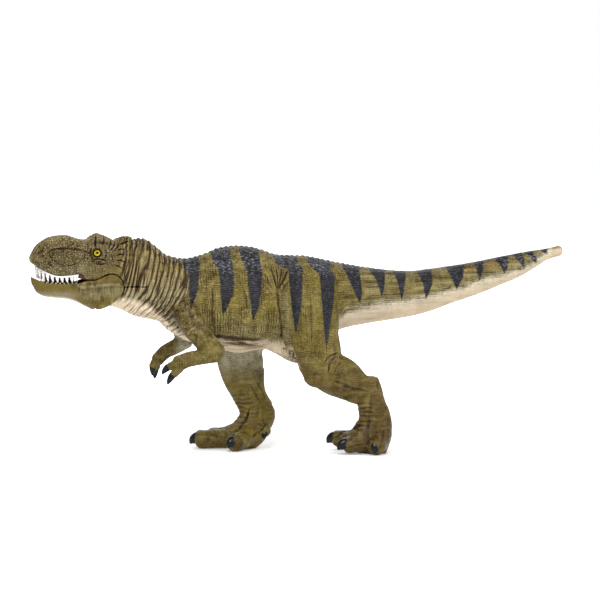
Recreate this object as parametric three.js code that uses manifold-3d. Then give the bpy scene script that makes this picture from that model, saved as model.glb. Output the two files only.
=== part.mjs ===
// Toy tyrannosaur figure with a hinged lower jaw, moulded in solid PVC, in millimetres.
// +X runs from the snout to the tail, +Z is up and the soles stand on z = 0. The animal's left side faces -Y.
// The trunk, head, tail, arms and legs are separate mouldings that plug together with a thin glue gap.
// The lower jaw turns on a steel pin that is trapped between the head and the throat.
import * as THREE from 'three';
import { mergeVertices } from 'three/addons/utils/BufferGeometryUtils.js';
import Module from 'manifold-3d';

const wasm = await Module();
wasm.setup();

// Driving dimensions of the figure.
const HIP_HEIGHT = 85.3;
const TRUNK_LENGTH = 100;
const TRUNK_HEIGHT = 60;
const TRUNK_WIDTH = 45;
const NECK_LENGTH = 33.6;
const NECK_HEIGHT = 45;
const NECK_WIDTH = 30;
const TAIL_LENGTH = 128;
const TAIL_HEIGHT = 36;
const TAIL_WIDTH = 29;
const TAIL_ROOT_X = 28;

// Head and jaw, measured from the jaw pivot.
const HEAD_RISE = 9;
const SKULL_REACH = 43;
const SKULL_HEIGHT = 28;
const SKULL_WIDTH = 27;
const JAW_REACH = 42.6;
const JAW_DEPTH = 11.6;
const JAW_WIDTH = 26.6;
const JAW_HEEL_RADIUS = 7;
const JAW_GAP = 0.5;
const JAW_OPENING_DEG = 28;
const JAW_EAR_INSET = 9.2;
const JAW_BOSS_RADIUS = 6.9;

// Joining details.
const GLUE_GAP = 0.3;
const PIN_RADIUS = 1.5;
const PIN_CLEARANCE = 0.08;
const PIN_END_GAP = 0.3;
const PIN_EAR_DEPTH = 2.2;
const HEAD_PLUG_RADIUS = 5;
const HEAD_PLUG_LENGTH = 8;
const TAIL_PLUG_RADIUS = 6.5;
const TAIL_PLUG_LENGTH = 10;
const LEG_PLUG_RADIUS = 6;
const LEG_PLUG_LENGTH = 8;
const ARM_PLUG_RADIUS = 3.2;
const ARM_PLUG_LENGTH = 6;
const NECK_SEAM_RUN = 20;
const NECK_SEAM_LEAN = 4.5;
const OVERRUN = 30;

// Limbs.
const THIGH_WIDTH = 34;
const THIGH_THICKNESS = 27;
const SHANK_WIDTH = 24;
const SHANK_THICKNESS = 19;
const FOOT_WIDTH = 16;
const FOOT_THICKNESS = 13;
const STANCE = 20;
const TOE_RADIUS = 5.3;
const TOE_CLAW_RADIUS = 3.5;
const HALLUX_RADIUS = 3;
const UPPER_ARM_WIDTH = 15;
const FOREARM_WIDTH = 8.6;
const ARM_SPREAD = 21;
const ARM_REACH = 27;
const ARM_DROP = 38;
const FINGER_RADIUS = 2.6;
const FINGER_CLAW_RADIUS = 1.9;

// Teeth, eyes and skull details.
const TOOTH_STRIP_HEIGHT = 1.2;
const TOOTH_STRIP_WIDTH = 1.6;
const TOOTH_RADIUS = 1.15;
const UPPER_TOOTH_LENGTH = 5.2;
const LOWER_TOOTH_LENGTH = 2;
const LOWER_TOOTH_RADIUS = 0.85;
const TOOTH_INSET = 1.9;
const TOOTH_ROW_GAP = 0.35;
const UPPER_TOOTH_COUNT = 20;
const LOWER_TOOTH_COUNT = 18;
const TONGUE_WIDTH = 6.4;
const TONGUE_THICKNESS = 2;
const EYE_RADIUS = 2.3;
const BROW_RADIUS = 3.2;
const NOSTRIL_RADIUS = 1.3;

// Smoothness of the mouldings.
const BODY_SIDES = 24;
const THIGH_SIDES = 16;
const LIMB_SIDES = 12;
const ARM_SIDES = 10;
const TOE_SIDES = 8;
const TOOTH_SIDES = 5;
const BAR_SIDES = 20;
const ROWS_PER_SPAN = 1;
const DOME_ROWS = 2;

const DEG = Math.PI / 180;
const shoulderX = TAIL_ROOT_X - TRUNK_LENGTH;
const pivot = new THREE.Vector3(shoulderX - NECK_LENGTH, 0, HIP_HEIGHT + HEAD_RISE);

// A closed three.js geometry as a solid, and back again.
function solid(geometry) {
  const bare = geometry.index ? geometry.clone() : geometry;
  bare.deleteAttribute('normal');
  bare.deleteAttribute('uv');
  const merged = mergeVertices(bare);
  return new wasm.Manifold(new wasm.Mesh({
    numProp: 3,
    vertProperties: merged.attributes.position.array,
    triVerts: new Uint32Array(merged.index.array),
  }));
}

function geometryOf(manifold) {
  const mesh = manifold.getMesh();
  const geometry = new THREE.BufferGeometry();
  geometry.setAttribute('position', new THREE.BufferAttribute(mesh.vertProperties, 3));
  geometry.setIndex(new THREE.BufferAttribute(mesh.triVerts, 1));
  const flat = geometry.toNonIndexed();
  flat.computeVertexNormals();
  return flat;
}

function union(parts) {
  return parts.reduce((whole, part) => whole.add(part));
}

function smooth(points) {
  return new THREE.CatmullRomCurve3(points, false, 'catmullrom');
}

// A skin through rings. Each station has its centre (x, y, z), half height up, half width side, and
// pear, which draws the top in and lets the bottom swell. Rings stand upright across X, or follow the path.
function loft(stations, options = {}) {
  const { sides = LIMB_SIDES, rows = ROWS_PER_SPAN, upright = false, grow = 0 } = options;
  const { square = 2, domes = [0, 0] } = options;
  const centres = smooth(stations.map((s) => vec(s.x, s.y, s.z)));
  const sizes = smooth(stations.map((s) => vec(s.up, s.side, s.pear ?? 0)));
  const spans = (stations.length - 1) * rows;
  const rings = [];
  const heading = Math.sign(stations.at(-1).x - stations[0].x);
  const ring = (t, push, scale) => {
    const centre = centres.getPoint(t);
    const size = sizes.getPoint(t);
    const along = upright ? vec(1, 0, 0) : centres.getTangent(t).normalize();
    const across = vec(0, 1, 0).addScaledVector(along, -along.y).normalize();
    const up = vec(0, 0, 0).crossVectors(along, across).normalize();
    centre.addScaledVector(along, upright ? push * heading : push);
    const points = [];
    for (let i = 0; i < sides; i += 1) {
      const angle = (i / sides) * 2 * Math.PI;
      const cos = Math.sign(Math.cos(angle)) * Math.abs(Math.cos(angle)) ** (2 / square);
      const sin = Math.sign(Math.sin(angle)) * Math.abs(Math.sin(angle)) ** (2 / square);
      const tall = (size.x + grow) * scale * cos;
      const wide = (size.y + grow) * scale * sin * (1 - size.z * Math.cos(angle));
      points.push(centre.clone().addScaledVector(up, tall).addScaledVector(across, wide));
    }
    rings.push({ centre, points });
  };
  for (let d = DOME_ROWS; d > 0 && domes[0] > 0; d -= 1) {
    const a = (d / (DOME_ROWS + 0.4)) * (Math.PI / 2);
    ring(0, -(domes[0] + grow) * Math.sin(a), Math.cos(a));
  }
  for (let i = 0; i <= spans; i += 1) {
    ring(i / spans, 0, 1);
  }
  for (let d = 1; d <= DOME_ROWS && domes[1] > 0; d += 1) {
    const a = (d / (DOME_ROWS + 0.4)) * (Math.PI / 2);
    ring(1, (domes[1] + grow) * Math.sin(a), Math.cos(a));
  }
  const positions = [];
  const triangle = (a, b, c) => positions.push(...a.toArray(), ...b.toArray(), ...c.toArray());
  for (let r = 0; r + 1 < rings.length; r += 1) {
    for (let i = 0; i < sides; i += 1) {
      const j = (i + 1) % sides;
      const [a, b] = [rings[r].points, rings[r + 1].points];
      triangle(a[i], b[i], b[j]);
      triangle(a[i], b[j], a[j]);
    }
  }
  const [first, last] = [rings[0], rings[rings.length - 1]];
  for (let i = 0; i < sides; i += 1) {
    const j = (i + 1) % sides;
    triangle(first.centre, first.points[i], first.points[j]);
    triangle(last.centre, last.points[j], last.points[i]);
  }
  const geometry = new THREE.BufferGeometry();
  geometry.setAttribute('position', new THREE.Float32BufferAttribute(positions, 3));
  const made = solid(geometry);
  return made.volume() > 0 ? made : flipped(positions);
}

function flipped(positions) {
  const turned = [];
  for (let i = 0; i < positions.length; i += 9) {
    const [a, b, c] = [0, 3, 6].map((k) => positions.slice(i + k, i + k + 3));
    turned.push(...a, ...c, ...b);
  }
  const geometry = new THREE.BufferGeometry();
  geometry.setAttribute('position', new THREE.Float32BufferAttribute(turned, 3));
  return solid(geometry);
}

// An outline drawn in the X-Z plane, made solid between two places across the figure.
function plate(points, yFrom, yTo) {
  const shape = new THREE.Shape(points.map((p) => new THREE.Vector2(p.x, p.z)));
  const geometry = new THREE.ExtrudeGeometry(shape, { depth: yTo - yFrom, bevelEnabled: false });
  geometry.rotateX(Math.PI / 2);
  geometry.translate(0, yTo, 0);
  return solid(geometry);
}

// A round bar along X or Y.
function bar(radius, length, centre, axis) {
  const geometry = new THREE.CylinderGeometry(radius, radius, length, BAR_SIDES);
  if (axis === 'x') {
    geometry.rotateZ(Math.PI / 2);
  }
  geometry.translate(centre.x, centre.y, centre.z);
  return solid(geometry);
}

function ball(radii, centre) {
  const geometry = new THREE.SphereGeometry(1, 10, 6);
  geometry.scale(radii.x, radii.y, radii.z);
  geometry.translate(centre.x, centre.y, centre.z);
  return solid(geometry);
}

function vec(x, y, z) {
  return new THREE.Vector3(x, y, z);
}

// Body skin, from the throat to the tail tip. Columns: along, top, bottom, half width, pear.
const neckShares = [
  [1.0, 0.64, -0.04, 0.43, 0.12],
  [0.8, 0.71, -0.09, 0.45, 0.12],
  [0.6, 0.765, -0.17, 0.487, 0.12],
  [0.45, 0.78, -0.202, 0.507, 0.12],
  [0.3, 0.738, -0.225, 0.52, 0.12],
  [0.15, 0.647, -0.256, 0.533, 0.12],
];
const trunkShares = [
  [0.0, 0.425, -0.275, 0.367, 0.12],
  [0.1, 0.393, -0.367, 0.4, 0.1],
  [0.2, 0.43, -0.42, 0.444, 0.14],
  [0.3, 0.49, -0.463, 0.482, 0.16],
  [0.4, 0.505, -0.49, 0.5, 0.16],
  [0.5, 0.48, -0.467, 0.495, 0.14],
  [0.6, 0.422, -0.458, 0.467, 0.1],
  [0.7, 0.407, -0.44, 0.422, 0.05],
  [0.8, 0.398, -0.4, 0.39, 0],
  [0.9, 0.358, -0.333, 0.355, -0.04],
  [1.0, 0.327, -0.277, 0.322, -0.06],
];
const tailShares = [
  [0.1, 0.483, -0.397, 0.448, -0.08],
  [0.2, 0.439, -0.347, 0.407, -0.08],
  [0.3, 0.417, -0.294, 0.366, -0.08],
  [0.4, 0.45, -0.206, 0.324, -0.08],
  [0.5, 0.5, -0.083, 0.283, -0.08],
  [0.6, 0.553, 0.028, 0.245, -0.08],
  [0.7, 0.62, 0.161, 0.207, -0.06],
  [0.8, 0.684, 0.303, 0.169, -0.04],
  [0.87, 0.718, 0.439, 0.128, 0],
  [0.925, 0.748, 0.56, 0.1, 0],
  [0.98, 0.79, 0.62, 0.09, 0],
];

function bodyStation([along, top, bottom, half, pear], startX, length, height, width) {
  return {
    x: startX + along * length,
    y: 0,
    z: HIP_HEIGHT + ((top + bottom) / 2) * height,
    up: ((top - bottom) / 2) * height,
    side: half * width,
    pear,
  };
}

function bodySkin(grow = 0) {
  const stations = [
    ...neckShares.map((row) => bodyStation(row, shoulderX, -NECK_LENGTH, NECK_HEIGHT, NECK_WIDTH)),
    ...trunkShares.map((row) => bodyStation(row, shoulderX, TRUNK_LENGTH, TRUNK_HEIGHT, TRUNK_WIDTH)),
    ...tailShares.map((row) => bodyStation(row, TAIL_ROOT_X, TAIL_LENGTH, TAIL_HEIGHT, TAIL_WIDTH)),
  ];
  const tailTipDome = tailShares.at(-1)[3] * TAIL_WIDTH;
  return loft(stations, { sides: BODY_SIDES, upright: true, grow, square: 2.1, domes: [0, tailTipDome] });
}

// The keel of the pelvis, between the thighs. Columns as for the body.
const keelShares = [
  [0.52, -0.2, -0.44, 0.12, 0],
  [0.6, -0.2, -0.5, 0.16, 0],
  [0.68, -0.2, -0.575, 0.19, 0],
  [0.74, -0.2, -0.6, 0.19, 0],
  [0.81, -0.2, -0.56, 0.16, 0],
  [0.88, -0.2, -0.44, 0.12, 0],
];

function keel(grow = 0) {
  const stations = keelShares.map((row) => {
    return bodyStation(row, shoulderX, TRUNK_LENGTH, TRUNK_HEIGHT, TRUNK_WIDTH);
  });
  return loft(stations, { sides: LIMB_SIDES, upright: true, grow });
}

// Skull skin, measured forward and up from the jaw pivot. Columns: forward, top, bottom, half width.
const skullShares = [
  [-0.43, 0.8, -0.2, 0.46],
  [-0.293, 0.885, -0.2, 0.51],
  [-0.13, 0.905, -0.15, 0.518],
  [0.033, 0.905, -0.1, 0.492],
  [0.195, 0.93, -0.05, 0.44],
  [0.351, 0.925, 0.0, 0.395],
  [0.507, 1.0, 0.04, 0.378],
  [0.66, 1.0, 0.06, 0.37],
  [0.788, 0.955, 0.12, 0.344],
  [0.89, 0.85, 0.22, 0.296],
  [0.951, 0.75, 0.34, 0.23],
  [0.985, 0.65, 0.45, 0.13],
];

function skullSkin() {
  const stations = skullShares.map(([forward, top, bottom, half]) => ({
    x: pivot.x - forward * SKULL_REACH,
    y: 0,
    z: pivot.z + ((top + bottom) / 2) * SKULL_HEIGHT,
    up: ((top - bottom) / 2) * SKULL_HEIGHT,
    side: half * SKULL_WIDTH,
    pear: 0.13,
  }));
  const snoutDome = (1 - skullShares.at(-1)[0]) * SKULL_REACH;
  return loft(stations, { sides: BODY_SIDES, upright: true, square: 2.5, domes: [0, snoutDome] });
}

// The lip line of the upper jaw, from the snout to the mouth corner.
// Columns: forward, height above the pivot.
const lipShares = [
  [1.03, 0.56],
  [0.97, 0.46],
  [0.92, 0.405],
  [0.83, 0.328],
  [0.767, 0.28],
  [0.695, 0.241],
  [0.614, 0.227],
  [0.512, 0.238],
  [0.435, 0.252],
  [0.379, 0.259],
  [0.344, 0.22],
  [0.3, 0.136],
];
const lipCurve = new THREE.SplineCurve(lipShares.map(([forward, height]) => new THREE.Vector2(
  pivot.x - forward * SKULL_REACH, pivot.z + height * SKULL_HEIGHT)));

// Height of the lip line at a place along the head.
function lipHeight(x) {
  const points = lipCurve.getPoints(60);
  const next = points.findIndex((p) => p.x >= x);
  if (next <= 0) {
    return points[next === 0 ? 0 : points.length - 1].y;
  }
  const [a, b] = [points[next - 1], points[next]];
  return a.y + ((b.y - a.y) * (x - a.x)) / (b.x - a.x);
}

// The side outline of the lower jaw: rim, rise behind the mouth corner, round heel, bulge and chin.
// Columns: forward, height above the pivot.
const jawRimShares = [
  [1.02, 0.52],
  [0.92, 0.335],
  [0.83, 0.215],
  [0.64, 0.15],
  [0.507, 0.14],
  [0.4, 0.18],
  [0.3, 0.29],
  [0.2, 0.3],
  [0.145, 0.38],
  [0.07, 0.51],
];
const jawBulgeShares = [
  [-0.08, -0.6],
  [-0.02, -0.78],
  [0.05, -0.95],
  [0.13, -1.06],
  [0.2, -1.1],
  [0.3, -1.3],
  [0.42, -1.5],
  [1.1, -1.5],
  [1.1, 0.0],
];
const HEEL_START_DEG = 88;
const HEEL_END_DEG = -50;
const HEEL_STEPS = 10;
const JAW_SWEEP_STEPS = 4;
const JAW_SWEEP_EXTRA_DEG = 2;

function jawRim(grow) {
  const rim = new THREE.SplineCurve(jawRimShares.map(([forward, height]) => new THREE.Vector2(
    pivot.x - forward * JAW_REACH, pivot.z + height * JAW_DEPTH + grow)));
  return rim.getPoints(20).map((p) => ({ x: p.x, z: p.y }));
}

function jawHeel(grow) {
  const reach = JAW_HEEL_RADIUS + grow;
  const heel = [];
  for (let step = 0; step <= HEEL_STEPS; step += 1) {
    const angle = (HEEL_START_DEG + (step / HEEL_STEPS) * (HEEL_END_DEG - HEEL_START_DEG)) * DEG;
    heel.push({ x: pivot.x + reach * Math.cos(angle), z: pivot.z + reach * Math.sin(angle) });
  }
  return heel;
}

function jawBulge(grow) {
  return jawBulgeShares.map(([forward, height]) => ({
    x: pivot.x - forward * JAW_REACH + grow,
    z: pivot.z + height * JAW_DEPTH,
  }));
}

function jawOutline(grow = 0) {
  return [...jawRim(grow), ...jawHeel(grow), ...jawBulge(grow)];
}

// The rear part of the jaw's outline, which swings past the throat.
const EAR_BULGE_POINTS = 4;

function earOutline(grow) {
  const bulge = jawBulge(grow).slice(0, EAR_BULGE_POINTS).map((p) => ({ x: p.x, z: p.z - grow }));
  return [...jawHeel(grow), ...bulge, { x: pivot.x - JAW_HEEL_RADIUS, z: pivot.z }];
}

// Jaw skin. Columns: forward, bottom, half width.
const jawShares = [
  [-0.2, -1.6, 0.5],
  [-0.06, -1.55, 0.505],
  [0.08, -1.45, 0.498],
  [0.18, -1.33, 0.475],
  [0.27, -1.04, 0.445],
  [0.35, -0.86, 0.412],
  [0.43, -0.72, 0.385],
  [0.54, -0.6, 0.36],
  [0.69, -0.54, 0.338],
  [0.81, -0.48, 0.31],
  [0.87, -0.4, 0.28],
  [0.93, -0.24, 0.235],
  [0.975, 0.06, 0.16],
];
const jawTopShare = 1.2;

function jawSkin() {
  const stations = jawShares.map(([forward, bottom, half]) => ({
    x: pivot.x - forward * JAW_REACH,
    y: 0,
    z: pivot.z + ((jawTopShare + bottom) / 2) * JAW_DEPTH,
    up: ((jawTopShare - bottom) / 2) * JAW_DEPTH,
    side: half * JAW_WIDTH,
    pear: -0.1,
  }));
  const chinDome = (1 - jawShares.at(-1)[0]) * JAW_REACH;
  return loft(stations, { sides: BODY_SIDES, upright: true, square: 3.2, domes: [0, chinDome] });
}

// The hollow of the mouth in the lower jaw: a plan outline sunk from above and tilted down to the throat.
const TROUGH_TILT_DEG = 9.5;
const TROUGH_FLOOR_DROP = 6.2;
const TROUGH_WALL = 5;
const troughShares = [
  [0.84, 0.0],
  [0.83, 0.5],
  [0.76, 0.85],
  [0.65, 1.0],
  [0.45, 1.05],
];

function trough() {
  const frontHalf = jawShares.find((row) => row[0] > 0.5)[2] * JAW_WIDTH - TROUGH_WALL;
  const side = troughShares.map(([forward, half]) => {
    return new THREE.Vector2(-forward * JAW_REACH, half * frontHalf);
  });
  side.push(new THREE.Vector2(-JAW_BOSS_RADIUS - JAW_HEEL_RADIUS, JAW_EAR_INSET));
  side.push(new THREE.Vector2(OVERRUN, JAW_EAR_INSET));
  const outline = [...side, ...side.slice(1).reverse().map((p) => new THREE.Vector2(p.x, -p.y))];
  const shape = new THREE.Shape(outline);
  const geometry = new THREE.ExtrudeGeometry(shape, { depth: OVERRUN, bevelEnabled: false });
  geometry.translate(0, 0, -TROUGH_FLOOR_DROP);
  geometry.rotateY(TROUGH_TILT_DEG * DEG);
  geometry.translate(pivot.x, 0, pivot.z);
  return solid(geometry);
}

// Where the jaw's floor ends, so that it swings clear of the throat when the mouth opens.
const FLOOR_END_DEG = 236;

function floorEndCut() {
  const reach = OVERRUN + JAW_REACH;
  const [cos, sin] = [Math.cos(FLOOR_END_DEG * DEG), Math.sin(FLOOR_END_DEG * DEG)];
  const outline = [
    { x: pivot.x, z: pivot.z },
    { x: pivot.x + reach * cos, z: pivot.z + reach * sin },
    { x: pivot.x + reach, z: pivot.z - reach },
    { x: pivot.x + reach, z: pivot.z + reach },
    { x: pivot.x, z: pivot.z + reach },
  ];
  return plate(outline, -JAW_EAR_INSET, JAW_EAR_INSET);
}

function lowerJaw() {
  const boss = bar(JAW_BOSS_RADIUS + JAW_GAP, 2 * JAW_EAR_INSET, pivot, 'y');
  const pinHole = bar(PIN_RADIUS + PIN_CLEARANCE, 2 * (JAW_EAR_INSET + PIN_EAR_DEPTH), pivot, 'y');
  const outline = plate(jawOutline(), -JAW_WIDTH, JAW_WIDTH);
  const shell = jawSkin().intersect(outline).subtract(trough()).subtract(floorEndCut());
  return shell.subtract(boss).subtract(pinHole).add(tongue());
}

// The tongue lies in the trough, moulded with the jaw.
const tongueShares = [
  [0.36, 0.55, 0.0],
  [0.45, 0.9, 0.5],
  [0.6, 1.0, 0.35],
  [0.7, 0.85, 0.2],
  [0.76, 0.5, 0.0],
];

function tongue() {
  const floorAt = (forward) => pivot.z - TROUGH_FLOOR_DROP / Math.cos(TROUGH_TILT_DEG * DEG)
    + forward * JAW_REACH * Math.tan(TROUGH_TILT_DEG * DEG);
  const stations = tongueShares.map(([forward, width, rise]) => ({
    x: pivot.x - forward * JAW_REACH,
    y: 0,
    z: floorAt(forward) + rise * TONGUE_THICKNESS * 0.4,
    up: TONGUE_THICKNESS * 0.8,
    side: (width * TONGUE_WIDTH) / 2,
  }));
  const dome = TONGUE_THICKNESS * 0.5;
  return loft(stations, { sides: TOE_SIDES, upright: true, domes: [dome, dome] });
}

// The pockets that the jaw's ears sweep beside the throat as the mouth opens.
function sweptPockets() {
  const outline = earOutline(JAW_GAP);
  const pockets = [];
  for (let step = 0; step <= JAW_SWEEP_STEPS; step += 1) {
    const turn = (step / JAW_SWEEP_STEPS) * (JAW_OPENING_DEG + JAW_SWEEP_EXTRA_DEG) * DEG;
    const turned = outline.map((p) => ({
      x: pivot.x + (p.x - pivot.x) * Math.cos(turn) - (p.z - pivot.z) * Math.sin(turn),
      z: pivot.z + (p.x - pivot.x) * Math.sin(turn) + (p.z - pivot.z) * Math.cos(turn),
    }));
    for (const [from, to] of earStrips()) {
      pockets.push(plate(turned, from, to));
    }
  }
  return union(pockets);
}

// Where the ears lie across the figure, with their gap.
function earStrips() {
  const inset = JAW_EAR_INSET - JAW_GAP;
  return [[-OVERRUN, -inset], [inset, OVERRUN]];
}

// What is in front of the neck seam and above the jaw pin belongs to the head.
function headRegion(shift) {
  const low = pivot.z + shift;
  const seamX = pivot.x + NECK_SEAM_RUN - shift;
  const top = pivot.z + SKULL_HEIGHT + OVERRUN;
  const lean = (NECK_SEAM_LEAN * (SKULL_HEIGHT + OVERRUN)) / SKULL_HEIGHT;
  return plate([
    { x: pivot.x - SKULL_REACH - OVERRUN, z: low },
    { x: seamX, z: low },
    { x: seamX + lean, z: top },
    { x: pivot.x - SKULL_REACH - OVERRUN, z: top },
  ], -SKULL_WIDTH - OVERRUN, SKULL_WIDTH + OVERRUN);
}

// What lies under the lip line, the mouth corner and the seam, which the head leaves free.
function underLip() {
  const points = lipCurve.getPoints(24).map((p) => ({ x: p.x, z: p.y }));
  const corner = points.at(-1);
  points.push({ x: pivot.x, z: corner.z });
  points.push({ x: pivot.x, z: pivot.z - OVERRUN });
  points.push({ x: pivot.x - SKULL_REACH - OVERRUN, z: pivot.z - OVERRUN });
  points.push({ x: pivot.x - SKULL_REACH - OVERRUN, z: points[0].z });
  return plate(points, -SKULL_WIDTH - OVERRUN, SKULL_WIDTH + OVERRUN);
}

// Places on the head. Columns: forward, height above the pivot, half width.
const eyeShares = [0.155, 0.68, 0.4];
const hollowShares = [0.62, 0.62, 0.4];
const nostrilShares = [0.93, 0.7, 0.26];

// The ridge over the eye and the one behind it. Columns: forward, height above the pivot, half width,
// then the ridge's own half height and half width as shares of its radius.
const browShares = [
  [0.316, 0.8, 0.222, 0.25, 0.37],
  [0.272, 0.84, 0.233, 0.44, 0.56],
  [0.227, 0.89, 0.244, 0.59, 0.69],
  [0.183, 0.92, 0.256, 0.62, 0.72],
  [0.126, 0.955, 0.267, 0.69, 0.78],
  [0.033, 0.915, 0.296, 0.59, 0.66],
  [-0.017, 0.88, 0.311, 0.53, 0.59],
  [-0.068, 0.845, 0.319, 0.41, 0.5],
];
const crestShares = [
  [-0.065, 0.83, 0.204, 0.37, 0.44],
  [-0.117, 0.86, 0.207, 0.56, 0.59],
  [-0.169, 0.89, 0.2, 0.59, 0.62],
  [-0.256, 0.92, 0.17, 0.56, 0.56],
  [-0.296, 0.91, 0.156, 0.47, 0.47],
];

function onHead([forward, height, half], side) {
  return vec(pivot.x - forward * SKULL_REACH, side * half * SKULL_WIDTH, pivot.z + height * SKULL_HEIGHT);
}

function ridge(shares, side) {
  const stations = shares.map(([forward, height, half, tall, wide]) => {
    const place = onHead([forward, height, half], side);
    return { x: place.x, y: place.y, z: place.z, up: tall * BROW_RADIUS, side: wide * BROW_RADIUS };
  });
  const end = BROW_RADIUS * 0.25;
  return loft(stations, { sides: TOE_SIDES, upright: true, domes: [end, end] });
}

function head() {
  const seams = headRegion(GLUE_GAP / 2);
  let whole = skullSkin().add(bodySkin()).intersect(seams).subtract(underLip());
  for (const side of [-1, 1]) {
    whole = whole.add(ridge(browShares, side)).add(ridge(crestShares, side));
    const hollow = onHead(hollowShares, side);
    whole = whole.subtract(ball(vec(SKULL_REACH * 0.19, SKULL_WIDTH * 0.06, SKULL_HEIGHT * 0.2), hollow));
    const socket = onHead(eyeShares, side);
    const lid = socket.clone().setY(socket.y * 1.16);
    whole = whole.subtract(ball(vec(EYE_RADIUS * 1.7, EYE_RADIUS, EYE_RADIUS * 1.3), lid));
    whole = whole.add(ball(vec(EYE_RADIUS, EYE_RADIUS, EYE_RADIUS), socket));
    const nostril = onHead(nostrilShares, side);
    whole = whole.subtract(ball(vec(NOSTRIL_RADIUS * 1.4, NOSTRIL_RADIUS, NOSTRIL_RADIUS), nostril));
  }
  for (const [from, to] of earStrips()) {
    whole = whole.subtract(plate(jawOutline(JAW_GAP), from, to));
  }
  const bossWidth = 2 * (JAW_EAR_INSET - JAW_GAP);
  whole = whole.add(bar(JAW_BOSS_RADIUS, bossWidth, pivot, 'y').intersect(headRegion(GLUE_GAP / 2)));
  whole = whole.subtract(bar(PIN_RADIUS + PIN_CLEARANCE, SKULL_WIDTH, pivot, 'y'));
  return whole.add(headPlug(0));
}

function headPlug(grow) {
  const start = pivot.x + NECK_SEAM_RUN - HEAD_PLUG_LENGTH;
  const length = 2 * HEAD_PLUG_LENGTH + NECK_SEAM_LEAN + grow;
  const centre = vec(start + length / 2, 0, pivot.z + SKULL_HEIGHT * 0.36);
  return bar(HEAD_PLUG_RADIUS + grow, length, centre, 'x');
}

function tailPlug(grow) {
  const length = 2 * TAIL_PLUG_LENGTH + grow;
  const centre = vec(TAIL_ROOT_X + TAIL_PLUG_LENGTH - length / 2, 0, HIP_HEIGHT + TAIL_HEIGHT * 0.05);
  return bar(TAIL_PLUG_RADIUS + grow, length, centre, 'x');
}

function behind(x) {
  return plate([
    { x, z: -OVERRUN },
    { x: x + TAIL_LENGTH + OVERRUN, z: -OVERRUN },
    { x: x + TAIL_LENGTH + OVERRUN, z: HIP_HEIGHT + TRUNK_HEIGHT },
    { x, z: HIP_HEIGHT + TRUNK_HEIGHT },
  ], -TRUNK_WIDTH, TRUNK_WIDTH);
}

function tail() {
  return bodySkin().intersect(behind(TAIL_ROOT_X + GLUE_GAP)).add(tailPlug(0));
}

// Legs. X is a share of the thigh's width, Y of the stance and heights of the hip height.
// Each part is a run of rings. Columns: X, Y, height, half width, half thickness. A toe has its thickness
// and the places of its root, knuckle, end and claw tip.
const leftLegShares = {
  side: -1,
  hipShares: [0.12, 1.0],
  thighShares: [
    [0.14, 0.58, 1.19, 0.36, 0.24],
    [0.13, 0.74, 1.11, 0.46, 0.36],
    [0.11, 0.93, 1.01, 0.5, 0.46],
    [0.1, 1.03, 0.88, 0.5, 0.5],
    [0.15, 1.08, 0.76, 0.455, 0.47],
    [0.24, 1.12, 0.66, 0.395, 0.42],
    [0.25, 1.12, 0.56, 0.31, 0.36],
    [0.25, 1.12, 0.51, 0.24, 0.3],
  ],
  shankShares: [
    [0.2, 1.12, 0.6, 0.36, 0.44],
    [0.42, 1.12, 0.545, 0.47, 0.5],
    [0.66, 1.1, 0.497, 0.475, 0.46],
    [0.9, 1.06, 0.434, 0.38, 0.37],
    [1.11, 1.02, 0.39, 0.33, 0.33],
  ],
  footShares: [
    [1.125, 1.02, 0.485, 0.32, 0.4],
    [1.135, 1.0, 0.42, 0.42, 0.47],
    [1.155, 1.0, 0.33, 0.49, 0.48],
    [1.215, 0.98, 0.24, 0.56, 0.5],
    [1.24, 0.96, 0.14, 0.57, 0.58],
    [1.2, 0.96, 0.015, 0.46, 0.56],
  ],
  instepShares: [
    [1.2, 0.98, 0.21, 0.5, 0.5],
    [1.08, 0.97, 0.12, 0.56, 0.62],
    [0.88, 0.95, 0.07, 0.42, 0.72],
  ],
  toeShares: [
    [0.88, [[1.2, 1.02, 0.085], [0.96, 1.15, 0.07], [0.74, 1.2, 0.064], [0.565, 1.25, 0.04]]],
    [0.86, [[1.16, 0.8, 0.1], [0.9, 0.55, 0.09], [0.66, 0.42, 0.084], [0.505, 0.36, 0.062]]],
    [1.0, [[1.25, 1.1, 0.085], [1.215, 1.3, 0.068], [1.17, 1.5, 0.06], [1.125, 1.66, 0.022]]],
  ],
  halluxShares: [[1.38, 0.7, 0.13], [1.4, 0.48, 0.1], [1.36, 0.36, 0.06]],
};
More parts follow.
